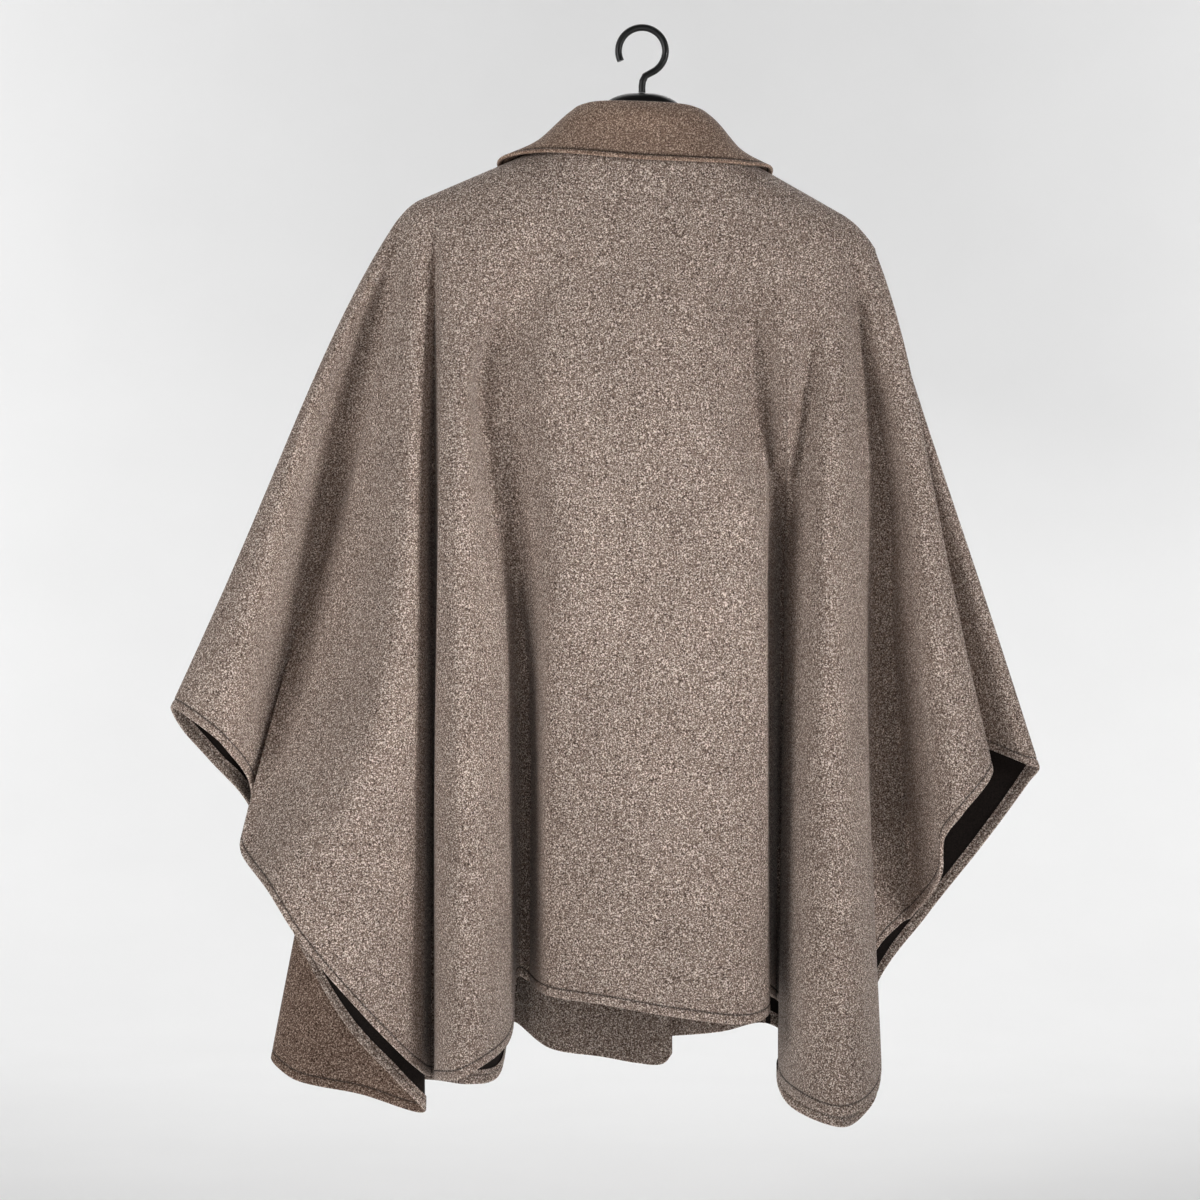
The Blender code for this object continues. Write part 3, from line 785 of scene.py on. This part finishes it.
def column_places(step):
    """Places of all columns: even along the hem, on every inner line, and close beside the front edges."""
    _, reach, knots = line_table()
    counts = np.maximum(np.round(reach / step), 2).astype(int)
    even = [np.linspace(knots[i], knots[i + 1], n, endpoint=False) for i, n in enumerate(counts)]
    even = np.concatenate(even + [knots[-1:]])
    kept = even[(even > knots[1] * 2) & (even < knots[-1] - 2 * (knots[-1] - knots[-2]))]
    beside = []
    for edge, inward in ((0, 1), (len(knots) - 1, -1)):
        tries = np.linspace(knots[edge], knots[edge + EDGE_LINES * inward], EDGE_TRIES)
        columns = read_columns(tries)
        middle = drape_points(columns, np.ones(len(tries)), 0, np.full((1, len(tries)), 0.5))[0]
        away = np.concatenate([[0], np.cumsum(np.linalg.norm(np.diff(middle, axis=0), axis=1))])
        beside.append(np.interp(EDGE_STEPS, away, tries))
    limits = beside[0].max(), beside[1].min()
    kept = kept[(kept > limits[0] + KNOT_GAP) & (kept < limits[1] - KNOT_GAP)]
    inner = knots[EDGE_LINES + 1 : -EDGE_LINES - 1]
    return np.unique(np.concatenate([beside[0], kept, inner, beside[1]]).round(6))


Drape = namedtuple(
    "Drape", "points normals hem_gap front_gap along left_seam right_seam left_facing right_facing"
)


@functools.cache
def drape():
    """The whole body cloth: points, outward directions, and distances from the hem and front edges."""
    size = bpy.context.scene.poncho_sizes
    knots = line_table()[-1]
    at = column_places(size.step / MM)
    columns = read_columns(at)
    left_seam = nearest(at, knots[len(FRONT_LEFT)])
    right_seam = nearest(at, knots[len(FRONT_LEFT) + 1 + len(BACK)])
    place = np.arange(len(at))
    side = np.where((place > left_seam) & (place < right_seam), -1, 1)
    lap = np.where(place > right_seam, front_lap(columns[:, 0]), 0)
    length = np.hypot(columns[:, 1] - columns[:, 0], columns[:, 2] - top_drop(columns[:, 0], side))
    falls = (np.arange(MAIN_ROWS) / MAIN_ROWS) ** ROW_POWER
    edge = np.array(EDGE_STEPS[::-1], float)
    share = np.vstack([np.outer(falls, 1 - edge[0] / length), 1 - edge[:, None] / length])
    points = drape_points(columns, side, lap, share)
    from_seam = np.minimum(np.abs(place - left_seam), np.abs(place - right_seam))
    still = np.clip((from_seam - 1) / STILL_COLUMNS, 0, 1)
    sunk = crease_depths(points, BACK_CREASES) * np.where(side < 0, still, 0)
    sunk += crease_depths(points, WING_CREASES) * (place < right_seam)
    sight = points - np.array(CAMERA_PLACE) / MM
    points += sunk[..., None] * sight / sight[..., 1:2]
    normals = square_seam_normals(points, surface_normals(points), left_seam, right_seam)
    along = np.concatenate([[0], np.cumsum(np.linalg.norm(np.diff(points[-1], axis=0), axis=1))])
    swell = ripple_heights(along, share * length) * smooth_step(share, RIPPLE_START, RIPPLE_FULL)
    points = points + normals * (swell * still)[..., None]
    normals = square_seam_normals(points, surface_normals(points), left_seam, right_seam)
    front_gap = np.full(len(at), np.inf)
    for edge_column, step in ((0, 1), (len(at) - 1, -1)):
        count = len(EDGE_STEPS)
        front_gap[edge_column : edge_column + step * count : step] = EDGE_STEPS
    hem_gap = (1 - share) * length
    left_facing = nearest(at, knots[FRONT_FACING_LINES])
    right_facing = nearest(at, knots[-1 - FRONT_FACING_LINES])
    return Drape(
        points, normals, hem_gap, front_gap, along, left_seam, right_seam, left_facing, right_facing
    )


def crease_depths(points, creases):
    """How far the cloth sinks along its creases, from each point's place seen from behind."""
    x, drop = points[..., 0], -points[..., 2]
    sunk = np.zeros(x.shape)
    for crease in creases:
        rows = np.array(crease, float)
        at = np.clip(drop.ravel(), rows[0, 1], rows[-1, 1])
        middle, _, left, right, depth, sharp = spline(rows, rows[:, 1], at).T.reshape(-1, *x.shape)
        away = x - middle
        share = np.clip(1 - np.abs(away) / np.where(away < 0, left, right), 0, 1)
        soft = 2 * (1 - share) * np.clip(1 - sharp, 0, 1)
        sunk += np.maximum(depth, 0) * share ** (2 * np.maximum(sharp, 1)) * (1 + soft)
    return sunk


def ripple_heights(along, fall):
    """Soft uneven swell of the cloth, long down the folds and narrow across them."""
    height = np.zeros(fall.shape)
    for kind in RIPPLES:
        for row in range(fall.shape[0]):
            for column in range(fall.shape[1]):
                spot = (along[column] / kind.width, fall[row, column] / kind.length, kind.height)
                height[row, column] += kind.height * noise.noise(spot)
    return height


def square_seam_normals(points, normals, left_seam, right_seam):
    """Normals along the shoulder and overarm seams, set in the seam's own plane so that the panels butt."""
    x = points[0, :, 0]
    steepness = shoulder_drop(x + 0.5) - shoulder_drop(x - 0.5)
    on_seam = np.abs(x) >= NECK_HALF
    normals[0, on_seam] = np.column_stack([steepness, np.zeros_like(x), np.ones_like(x)])[on_seam]
    for column, turn in ((left_seam, 1), (right_seam, -1)):
        down = directions(points[:, column], 0)
        normals[:, column] = turn * np.column_stack([down[:, 2], np.zeros(len(down)), -down[:, 0]])
    return unit(normals)


def wall_mesh(name, outer, inner, inner_material, painted_shade_and_highlight):
    """A closed wall between two grids of points in millimetres.

    inner_material is the material number of each inner face.
    The last argument is above 0 where a painted shade darkens a stitch row's groove and below 0 where a
    painted highlight makes an edge paler.
    """
    rows, columns = outer.shape[:2]
    index = np.arange(rows * columns).reshape(rows, columns)
    a, b, c, d = index[:-1, :-1], index[1:, :-1], index[1:, 1:], index[:-1, 1:]
    front = np.stack([a, b, c, d], axis=-1).reshape(-1, 4)
    behind = np.stack([a, d, c, b], axis=-1).reshape(-1, 4) + rows * columns
    border = np.concatenate([index[0, :-1], index[:-1, -1], index[-1, :0:-1], index[:0:-1, 0]])
    after = np.roll(border, -1)
    rim = np.stack([border, after, after + rows * columns, border + rows * columns], axis=-1)
    faces = np.concatenate([front, behind, rim])
    mesh = bpy.data.meshes.new(name)
    verts = np.concatenate([outer.reshape(-1, 3), inner.reshape(-1, 3)]) * MM
    mesh.from_pydata(verts.tolist(), [], faces.tolist())
    numbers = [np.zeros(len(front), np.int32), inner_material.reshape(-1), np.zeros(len(rim), np.int32)]
    mesh.polygons.foreach_set("material_index", np.concatenate(numbers).astype(np.int32))
    layer = mesh.attributes.new("painted_shade_and_highlight", "FLOAT", "POINT")
    layer.data.foreach_set("value", np.tile(painted_shade_and_highlight.reshape(-1), 2).astype(np.float32))
    mesh.update()
    return mesh


def add_piece(name, mesh, materials, *nodes):
    """A finished piece in the scene, riding on the body and standing for its solids."""
    for item in materials:
        mesh.materials.append(item)
    mesh.shade_smooth()
    mesh.set_sharp_from_angle(angle=math.radians(CLOTH_SHARP))
    obj = bpy.data.objects.new(name, mesh)
    bpy.context.scene.collection.objects.link(obj)
    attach(obj, BODY)
    if nodes:
        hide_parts(*nodes)
    return obj


def rounded(gap, wall):
    """How far both faces of a wall draw in at a distance from its edge, for a half-round edge."""
    radius = wall / 2
    inside = np.clip(radius - gap, 0, radius)
    return np.minimum(radius - np.sqrt(radius**2 - inside**2), radius - RIM / 2)


def stitch_groove(gap, inset):
    """1 along a stitch row at a distance from an edge, falling to 0 on both sides of it."""
    return np.exp(-(((gap - inset) / GROOVE_WIDTH) ** 2))


def painted_edge_highlight(gap):
    """Painted highlight: 1 along an edge, falling to 0 inside it."""
    return np.exp(-((gap / PAINTED_HIGHLIGHT_WIDTH) ** 2))


def panel(name, first, last, toward, facing):
    """One panel of the body: the coating, its hem turned inside, rounded edges and sunk stitch rows."""
    size = bpy.context.scene.poncho_sizes
    cloth, turned, hem_turn, inset = (
        v / MM for v in (size.cloth, size.turned, size.hem_turn, size.stitch_inset)
    )
    whole = drape()
    span = slice(first, last + 1)
    points = whole.points[:, span] + np.array([0, toward * SEAM_GAP / 2, 0])
    normals = whole.normals[:, span]
    hem_gap = whole.hem_gap[:, span]
    front_gap = np.broadcast_to(whole.front_gap[span], hem_gap.shape)
    column = np.arange(first, last + 1)
    faced = (column >= facing[0]) & (column <= facing[1]) if facing else np.zeros(len(column), bool)
    in_turn = (hem_gap <= hem_turn) & ~faced
    wall = cloth + turned * in_turn
    edge_gap = np.minimum(hem_gap, front_gap)
    drawn = rounded(edge_gap, wall)
    groove = np.where(front_gap > inset, stitch_groove(hem_gap, inset), 0)
    groove = np.maximum(groove, np.where(hem_gap > inset, stitch_groove(front_gap, inset), 0))
    puff = pucker(whole.along[span]) * np.exp(-((edge_gap / inset) ** 2))
    outer = points - normals * (drawn + groove * GROOVE_DEPTH - puff)[..., None]
    inner = points - normals * (wall - drawn - puff)[..., None]
    corner = in_turn[:-1, :-1] & in_turn[1:, 1:]
    # Painted shade in the stitch grooves, less a painted highlight along the edges
    painted_shade_and_highlight = PAINTED_GROOVE_SHADE * groove - PAINTED_HIGHLIGHT * painted_edge_highlight(edge_gap)
    return wall_mesh(name, outer, inner, np.where(corner, TURNED_SLOT, INNER_SLOT), painted_shade_and_highlight)


def pucker(along):
    """Small gathers that a row of stitches draws up."""
    return np.array([PUCKER_HEIGHT * noise.noise((a / PUCKER_WIDTH, *PUCKER_PLACE)) for a in along])


def facing_mesh(name, first, last):
    """A front facing: face cloth on the inside of a front, ending below the neck seam."""
    size = bpy.context.scene.poncho_sizes
    cloth, turned = size.cloth / MM, size.turned / MM
    whole = drape()
    fall = np.linalg.norm(np.diff(whole.points[:, first], axis=0), axis=1).cumsum()
    top = int(np.searchsorted(fall, FACING_TOP))
    span = slice(first, last + 1)
    points = whole.points[top:, span] + np.array([0, SEAM_GAP / 2, 0])
    normals = whole.normals[top:, span]
    from_first, from_last, from_top, _ = grid_gaps(points)
    gap = np.minimum.reduce([from_first, from_last, from_top, whole.hem_gap[top:, span]])
    wall = turned - SEAM_GAP
    drawn = rounded(gap, wall)
    outer = points - normals * (cloth + SEAM_GAP + drawn)[..., None]
    inner = points - normals * (cloth + SEAM_GAP + wall - drawn)[..., None]
    plain = np.zeros((len(points) - 1, points.shape[1] - 1))
    # Painted highlight along the facing's edges
    return wall_mesh(name, outer, inner, plain, -PAINTED_HIGHLIGHT * painted_edge_highlight(gap))


def collar_points(columns, per_span):
    """Middle surface of the collar: stand from the neckline, fold, and fall to the outer edge."""
    table = np.array(COLLAR, float)
    sections = spline(table, table[:, 0], columns)
    angle = np.radians(sections[:, 0])
    seam_x = NECK_HALF * np.sin(angle)
    side = np.where(np.cos(angle) > 0, -1, 1)
    lifted = np.where(sections[:, 0] > 90, front_lap(seam_x), 0)
    seam = np.column_stack([seam_x, top_y(seam_x, side) + lifted, COLLAR_LIFT - top_drop(seam_x, side)])
    fold = sections[:, 1:4] * (1, 1, -1)
    edge = sections[:, 4:7] * (1, 1, -1)
    outward = unit((edge - fold) * (1, 1, 0))
    stand = (seam + fold) / 2 - outward * STAND_HOLLOW
    under_fold = fold + outward * STAND_ROLL.out - (0, 0, STAND_ROLL.down)
    over_fold = fold + outward * FALL_ROLL.out - (0, 0, FALL_ROLL.down)
    fall = fold + (edge - fold) * FALL_MIDDLE + np.outer(sections[:, 7], (0, 0, 1))
    profile = np.stack([seam, stand, under_fold, fold, over_fold, fall, edge])
    knots = np.concatenate([[0], np.cumsum(np.linalg.norm(np.diff(profile, axis=0), axis=2).mean(1))])
    main = np.linspace(0, knots[-1] - COLLAR_STEPS[-1], per_span)
    at = np.concatenate([main, knots[-1] - np.array(COLLAR_STEPS[-2::-1])])
    flat = profile.reshape(len(profile), -1)
    return spline(flat, knots, at).reshape(len(at), -1, 3)


def grid_gaps(points):
    """Distance of each point of a grid from its first and last columns and its first and last rows."""
    across = np.linalg.norm(np.diff(points, axis=1), axis=2)
    down = np.linalg.norm(np.diff(points, axis=0), axis=2)
    side = np.zeros((len(points), 1))
    row = np.zeros((1, points.shape[1]))
    from_first = np.concatenate([side, across.cumsum(1)], 1)
    from_last = np.concatenate([across[:, ::-1].cumsum(1)[:, ::-1], side], 1)
    from_top = np.concatenate([row, down.cumsum(0)], 0)
    from_bottom = np.concatenate([down[::-1].cumsum(0)[::-1], row], 0)
    return from_first, from_last, from_top, from_bottom


@functools.cache
def collar_grid():
    """Points and outward directions of the collar, with more columns at its two ends."""
    first, last = COLLAR[0].angle, COLLAR[-1].angle
    ends = np.array(COLLAR_STEPS) * COLLAR_END_DEGREES
    even = np.linspace(first + ends[-1], last - ends[-1], COLLAR_COLUMNS)
    points = collar_points(np.concatenate([first + ends[:-1], even, last - ends[-2::-1]]), COLLAR_ROWS)
    return points, surface_normals(points)


def stitch_mesh(name, rows):
    """Rows of stitches lying in their groove, each stitch a short thread that dips in at both ends."""
    size = bpy.context.scene.poncho_sizes
    stitch, gap, thick = size.stitch / MM, size.stitch_gap / MM, size.thread / MM
    sides = STITCH_SIDES
    turn = np.radians(np.arange(sides) * 360 / sides)
    verts, faces = [], []
    for points, normals in rows:
        steps = np.linalg.norm(np.diff(points, axis=0), axis=1)
        run = np.concatenate([[0], steps.cumsum()])
        middles = np.arange(stitch, run[-1] - stitch, stitch + gap)
        centre = np.column_stack([np.interp(middles, run, points[:, k]) for k in range(3)])
        ahead = np.column_stack([np.interp(middles + 1, run, points[:, k]) for k in range(3)])
        up = unit(np.column_stack([np.interp(middles, run, normals[:, k]) for k in range(3)]))
        along = unit(ahead - centre)
        side = unit(np.cross(up, along))
        for c, f, s, n in zip(centre, along, side, up):
            base = len(verts)
            for forward, fat, lift in STITCH_RINGS:
                ring = np.outer(np.cos(turn), s) + np.outer(np.sin(turn), n)
                verts.extend(c + f * forward * stitch + n * lift + ring * fat * thick / 2)
            for r in range(len(STITCH_RINGS) - 1):
                for k in range(sides):
                    here, beside = base + r * sides + k, base + r * sides + (k + 1) % sides
                    faces.append((here, here + sides, beside + sides, beside))
            faces.append(tuple(base + k for k in range(sides)))
            faces.append(tuple(len(verts) - 1 - k for k in range(sides)))
    mesh = bpy.data.meshes.new(name)
    mesh.from_pydata((np.array(verts) * MM).tolist(), [], faces)
    mesh.update()
    return mesh


def sewn_line(first, last, toward, gap_column=None):
    """Points and normals along a stitch row: a row of the drape, or a column beside a front edge."""
    size = bpy.context.scene.poncho_sizes
    whole = drape()
    hem_row = len(whole.points) - 1 - nearest(EDGE_STEPS, size.stitch_inset / MM)
    if gap_column is None:
        points = whole.points[hem_row, first : last + 1]
        normals = whole.normals[hem_row, first : last + 1]
    else:
        points = whole.points[FRONT_STITCH_TOP : hem_row + 1, gap_column]
        normals = whole.normals[FRONT_STITCH_TOP : hem_row + 1, gap_column]
    return points + np.array([0, toward * SEAM_GAP / 2, 0]) - normals * STITCH_SUNK, normals


def sewn_collar():
    """Points and normals along the stitch row above the collar's outer edge."""
    size = bpy.context.scene.poncho_sizes
    points, normals = collar_grid()
    beside = nearest(COLLAR_STEPS, size.collar_inset / MM)
    row = len(points) - 1 - beside
    span = slice(beside, points.shape[1] - beside)
    lift = COLLAR_WALL / 2 - STITCH_SUNK
    return points[row, span] + normals[row, span] * lift, normals[row, span]


def tube_piece(name, path, radius, depth_scale, radii, nodes):
    """A round bar along a path in the plane y = 0, as a finished mesh."""
    curve = bpy.data.curves.new(name, "CURVE")
    curve.dimensions = "3D"
    curve.bevel_depth = radius * MM
    curve.bevel_resolution = 6
    curve.use_fill_caps = True
    strand = curve.splines.new("POLY")
    strand.points.add(len(path) - 1)
    for point, (x, z), share in zip(strand.points, path, radii):
        point.co = (x * MM, 0, z * MM, 1)
        point.radius = share
    obj = bpy.data.objects.new(name, curve)
    bpy.context.scene.collection.objects.link(obj)
    bpy.ops.object.select_all(action="DESELECT")
    bpy.context.view_layer.objects.active = obj
    obj.select_set(True)
    obj.scale.y = depth_scale
    bpy.ops.object.convert(target="MESH")
    obj = bpy.context.view_layer.objects.active
    bpy.ops.object.transform_apply(location=False, rotation=False, scale=True)
    bpy.ops.object.mode_set(mode="EDIT")
    bpy.ops.mesh.select_all(action="SELECT")
    bpy.ops.mesh.remove_doubles(threshold=1e-5)
    bpy.ops.mesh.normals_make_consistent(inside=False)
    bpy.ops.object.mode_set(mode="OBJECT")
    obj.data.shade_smooth()
    obj.data.set_sharp_from_angle(angle=math.radians(PLASTIC_SHARP))
    obj.data.materials.clear()
    obj.data.materials.append(moulded_plastic())
    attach(obj, BODY)
    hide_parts(*nodes)
    return obj


class PONCHO_OT_back(bpy.types.Operator):
    """Back panel with its turned hem"""

    bl_idname = "poncho.back"
    bl_label = "Back"

    def execute(self, context):
        whole = drape()
        mesh = panel("back_panel", whole.left_seam, whole.right_seam, -1, None)
        cloth = [fleck_wool(), bonded_back(), fleck_wool()]
        obj = add_piece("back_panel", mesh, cloth, "back", "hem_turn_back")
        return {"FINISHED"}


class PONCHO_OT_fronts(bpy.types.Operator):
    """Two front panels with their turned hems"""

    bl_idname = "poncho.fronts"
    bl_label = "Fronts"

    def execute(self, context):
        whole = drape()
        last = whole.points.shape[1] - 1
        fronts = (
            ("front_left", 0, whole.left_seam, (0, whole.left_facing), (0.85, 0.97), 0.55),
            ("front_right", whole.right_seam, last, (whole.right_facing, last), (0.65, 0.98), 0.37),
        )
        for name, first, end, facing, flat, area in fronts:
            mesh = panel(name + "_panel", first, end, 1, facing)
            # The fronts' face is a painted-shade copy of the cloth, darker and warmer
            face = fleck_wool("fleck_wool_fronts_painted_shade", context.scene.poncho_colours.fronts)
            cloth = [face, bonded_back(), fleck_wool()]
            obj = add_piece(name + "_panel", mesh, cloth, name, "hem_turn_" + name)
        return {"FINISHED"}


class PONCHO_OT_facings(bpy.types.Operator):
    """Facings inside the two front edges"""

    bl_idname = "poncho.facings"
    bl_label = "Facings"

    def execute(self, context):
        whole = drape()
        last = whole.points.shape[1] - 1
        facings = (
            ("front_left", 0, whole.left_facing, (0.16, 0.90)),
            ("front_right", whole.right_facing, last, (0.185, 0.88)),
        )
        for name, first, end, flat in facings:
            mesh = facing_mesh(name + "_inside", first, end)
            obj = add_piece(name + "_inside", mesh, [fleck_wool()], "facing_" + name)
        return {"FINISHED"}


class PONCHO_OT_collar(bpy.types.Operator):
    """Fold-over collar with a sunk row of topstitching"""

    bl_idname = "poncho.collar"
    bl_label = "Collar"

    def execute(self, context):
        size = context.scene.poncho_sizes
        points, normals = collar_grid()
        from_first, from_last, _, from_bottom = grid_gaps(points)
        gap = np.minimum.reduce([from_first, from_last, from_bottom])
        drawn = rounded(gap, COLLAR_WALL)
        groove = stitch_groove(gap, size.collar_inset / MM)
        thick = (COLLAR_WALL / 2 - drawn - groove * GROOVE_DEPTH)[..., None]
        plain = np.zeros((len(points) - 1, points.shape[1] - 1))
        # Painted shade in the collar's stitch groove, less a painted highlight along its edges
        painted_shade_and_highlight = COLLAR_PAINTED_GROOVE_SHADE * groove - PAINTED_HIGHLIGHT * painted_edge_highlight(gap)
        mesh = wall_mesh("collar_piece", points + normals * thick, points - normals * thick, plain, painted_shade_and_highlight)
        # Fainter flecks, and a painted shade that makes the collar's copy of the cloth warmer and slightly
        # darker
        cloth = fleck_wool("fleck_wool_collar_painted_shade", context.scene.poncho_colours.collar, COLLAR_EVEN)
        obj = add_piece("collar_piece", mesh, [cloth], "collar")
        return {"FINISHED"}


class PONCHO_OT_topstitching(bpy.types.Operator):
    """Rows of stitches along the hems, the front edges and the collar"""

    bl_idname = "poncho.topstitching"
    bl_label = "Topstitching"

    def execute(self, context):
        size = context.scene.poncho_sizes
        whole = drape()
        last = whole.points.shape[1] - 1
        beside = nearest(EDGE_STEPS, size.stitch_inset / MM)
        rows = {
            "topstitch_collar": [sewn_collar()],
            "topstitch_back": [sewn_line(whole.left_seam, whole.right_seam, -1)],
            "topstitch_front_left": [
                sewn_line(beside, whole.left_seam, 1),
                sewn_line(0, 0, 1, gap_column=beside),
            ],
            "topstitch_front_right": [
                sewn_line(whole.right_seam, last - beside, 1),
                sewn_line(0, 0, 1, gap_column=last - beside),
            ],
        }
        for name, lines in rows.items():
            obj = add_piece(name, stitch_mesh(name, lines), [sewing_thread()])
        return {"FINISHED"}


class PONCHO_OT_hanger(bpy.types.Operator):
    """Shaped hanger with its hook"""

    bl_idname = "poncho.hanger"
    bl_label = "Hanger"

    def execute(self, context):
        arms = [np.linspace(-BAR_HALF, -BAR_SEAT, ARM_POINTS), np.linspace(BAR_SEAT, BAR_HALF, ARM_POINTS)]
        seats = [np.column_stack([x, shoulder_drop(x) + BAR_FROM_CLOTH]) for x in arms]
        outline = np.vstack([seats[0], np.array(HUMP, float), seats[1]])
        x = np.linspace(-BAR_HALF, BAR_HALF, BAR_POINTS)
        top = spline(outline[:, 1:], outline[:, 0], x)[:, 0]
        drop = top + BAR_RADIUS * np.hypot(1, np.gradient(top, x))
        from_tip = (BAR_HALF - np.abs(x)) / (2 * BAR_RADIUS)
        radii = np.sqrt(1 - (1 - np.clip(from_tip + TIP_BLUNT, 0, 1)) ** 2)
        path = np.column_stack([x, -drop])
        tube_piece("hanger_arms", path, BAR_RADIUS, BAR_DEPTH_SCALE, radii, ["hanger_bar"])
        foot = -HUMP[len(HUMP) // 2].drop + HOOK_FOOT_GAP
        bend = HOOK_BEND + HOOK_RADIUS
        angles = np.radians(np.linspace(*HOOK_ENDS, HOOK_POINTS))
        loop = np.column_stack([bend * np.cos(angles), -HOOK_BEND + bend * np.sin(angles)])
        path = np.vstack([np.array(STEM) + (0, foot), loop])
        tube_piece("hook", path, HOOK_RADIUS, 1, np.ones(len(path)), ["hanger_hook"])
        return {"FINISHED"}


class PONCHO_OT_stage(bpy.types.Operator):
    """Camera, seamless paper backdrop and soft light"""

    bl_idname = "poncho.stage"
    bl_label = "Stage"

    def execute(self, context):
        light = context.scene.poncho_light
        bpy.ops.object.camera_add(location=CAMERA_PLACE, rotation=(math.radians(90), 0, 0))
        camera = context.object
        camera.data.lens = CAMERA_LENS
        context.scene.camera = camera
        self.add_backdrop(context)
        for lamp in LAMPS:
            bpy.ops.object.light_add(type="AREA", location=lamp.place)
            made = context.object
            made.name = lamp.name
            made.data.size = lamp.width
            made.data.spread = math.radians(lamp.spread)
            made.data.energy = getattr(light, lamp.power) * lamp.share
            made.visible_camera = False
            aim = Vector(lamp.target) - Vector(lamp.place)
            made.rotation_euler = aim.to_track_quat("-Z", "Y").to_euler()
        world = bpy.data.worlds.new("soft_sky")
        world.use_nodes = True
        sky = world.node_tree.nodes["Background"]
        sky.inputs["Color"].default_value = (1, 1, 1, 1)
        sky.inputs["Strength"].default_value = light.sky
        context.scene.world = world
        context.scene.view_settings.view_transform = "Standard"
        return {"FINISHED"}

    def add_backdrop(self, context):
        """A floor that turns up into a wall behind the garment."""
        bpy.ops.object.select_all(action="DESELECT")
        middle = WALL_BEHIND - STAGE_HALF
        bpy.ops.mesh.primitive_plane_add(size=2 * STAGE_HALF, location=(0, middle, -FLOOR_DROP))
        backdrop = context.object
        backdrop.name = "backdrop"
        bpy.ops.object.transform_apply(location=True)
        bpy.ops.object.mode_set(mode="EDIT")
        bpy.ops.mesh.select_mode(type="EDGE")
        bpy.ops.mesh.select_all(action="DESELECT")
        bpy.ops.object.mode_set(mode="OBJECT")
        for edge in backdrop.data.edges:
            edge.select = all(backdrop.data.vertices[v].co.y > WALL_BEHIND - NEAR for v in edge.vertices)
        bpy.ops.object.mode_set(mode="EDIT")
        bpy.ops.mesh.extrude_region_move(TRANSFORM_OT_translate={"value": (0, 0, STAGE_HALF)})
        bpy.ops.object.mode_set(mode="OBJECT")
        for edge in backdrop.data.edges:
            ends = [backdrop.data.vertices[v].co for v in edge.vertices]
            edge.select = all(abs(e.y - WALL_BEHIND) < NEAR and e.z < NEAR - FLOOR_DROP for e in ends)
        bpy.ops.object.mode_set(mode="EDIT")
        bpy.ops.mesh.bevel(offset=COVE, segments=COVE_SEGMENTS)
        bpy.ops.object.mode_set(mode="OBJECT")
        backdrop.data.shade_smooth()
        backdrop.data.materials.append(studio_paper())


class PONCHO_PT_sidebar(bpy.types.Panel):
    """Sizes, colours and building steps of the poncho"""

    bl_label = "Poncho"
    bl_space_type = "VIEW_3D"
    bl_region_type = "UI"
    bl_category = "Poncho"

    def draw(self, context):
        for group in (context.scene.poncho_sizes, context.scene.poncho_colours, context.scene.poncho_light):
            box = self.layout.box()
            for key in group.__annotations__:
                box.prop(group, key)
        for operator in OPERATORS:
            self.layout.operator(operator.bl_idname)


GROUPS = {"poncho_sizes": PonchoSizes, "poncho_colours": PonchoColours, "poncho_light": PonchoLight}
OPERATORS = (
    PONCHO_OT_stage,
    PONCHO_OT_hanger,
    PONCHO_OT_back,
    PONCHO_OT_fronts,
    PONCHO_OT_facings,
    PONCHO_OT_collar,
    PONCHO_OT_topstitching,
)


def register():
    for item in (*GROUPS.values(), *OPERATORS, PONCHO_PT_sidebar):
        bpy.utils.register_class(item)
    for name, group in GROUPS.items():
        setattr(bpy.types.Scene, name, bpy.props.PointerProperty(type=group))


def unregister():
    for name in GROUPS:
        delattr(bpy.types.Scene, name)
    for item in reversed((*GROUPS.values(), *OPERATORS, PONCHO_PT_sidebar)):
        bpy.utils.unregister_class(item)


def main():
    register()
    bpy.ops.poncho.stage()
    bpy.ops.poncho.hanger()
    bpy.ops.poncho.back()
    bpy.ops.poncho.fronts()
    bpy.ops.poncho.facings()
    bpy.ops.poncho.collar()
    bpy.ops.poncho.topstitching()
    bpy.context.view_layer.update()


if __name__ == "__main__":
    main()
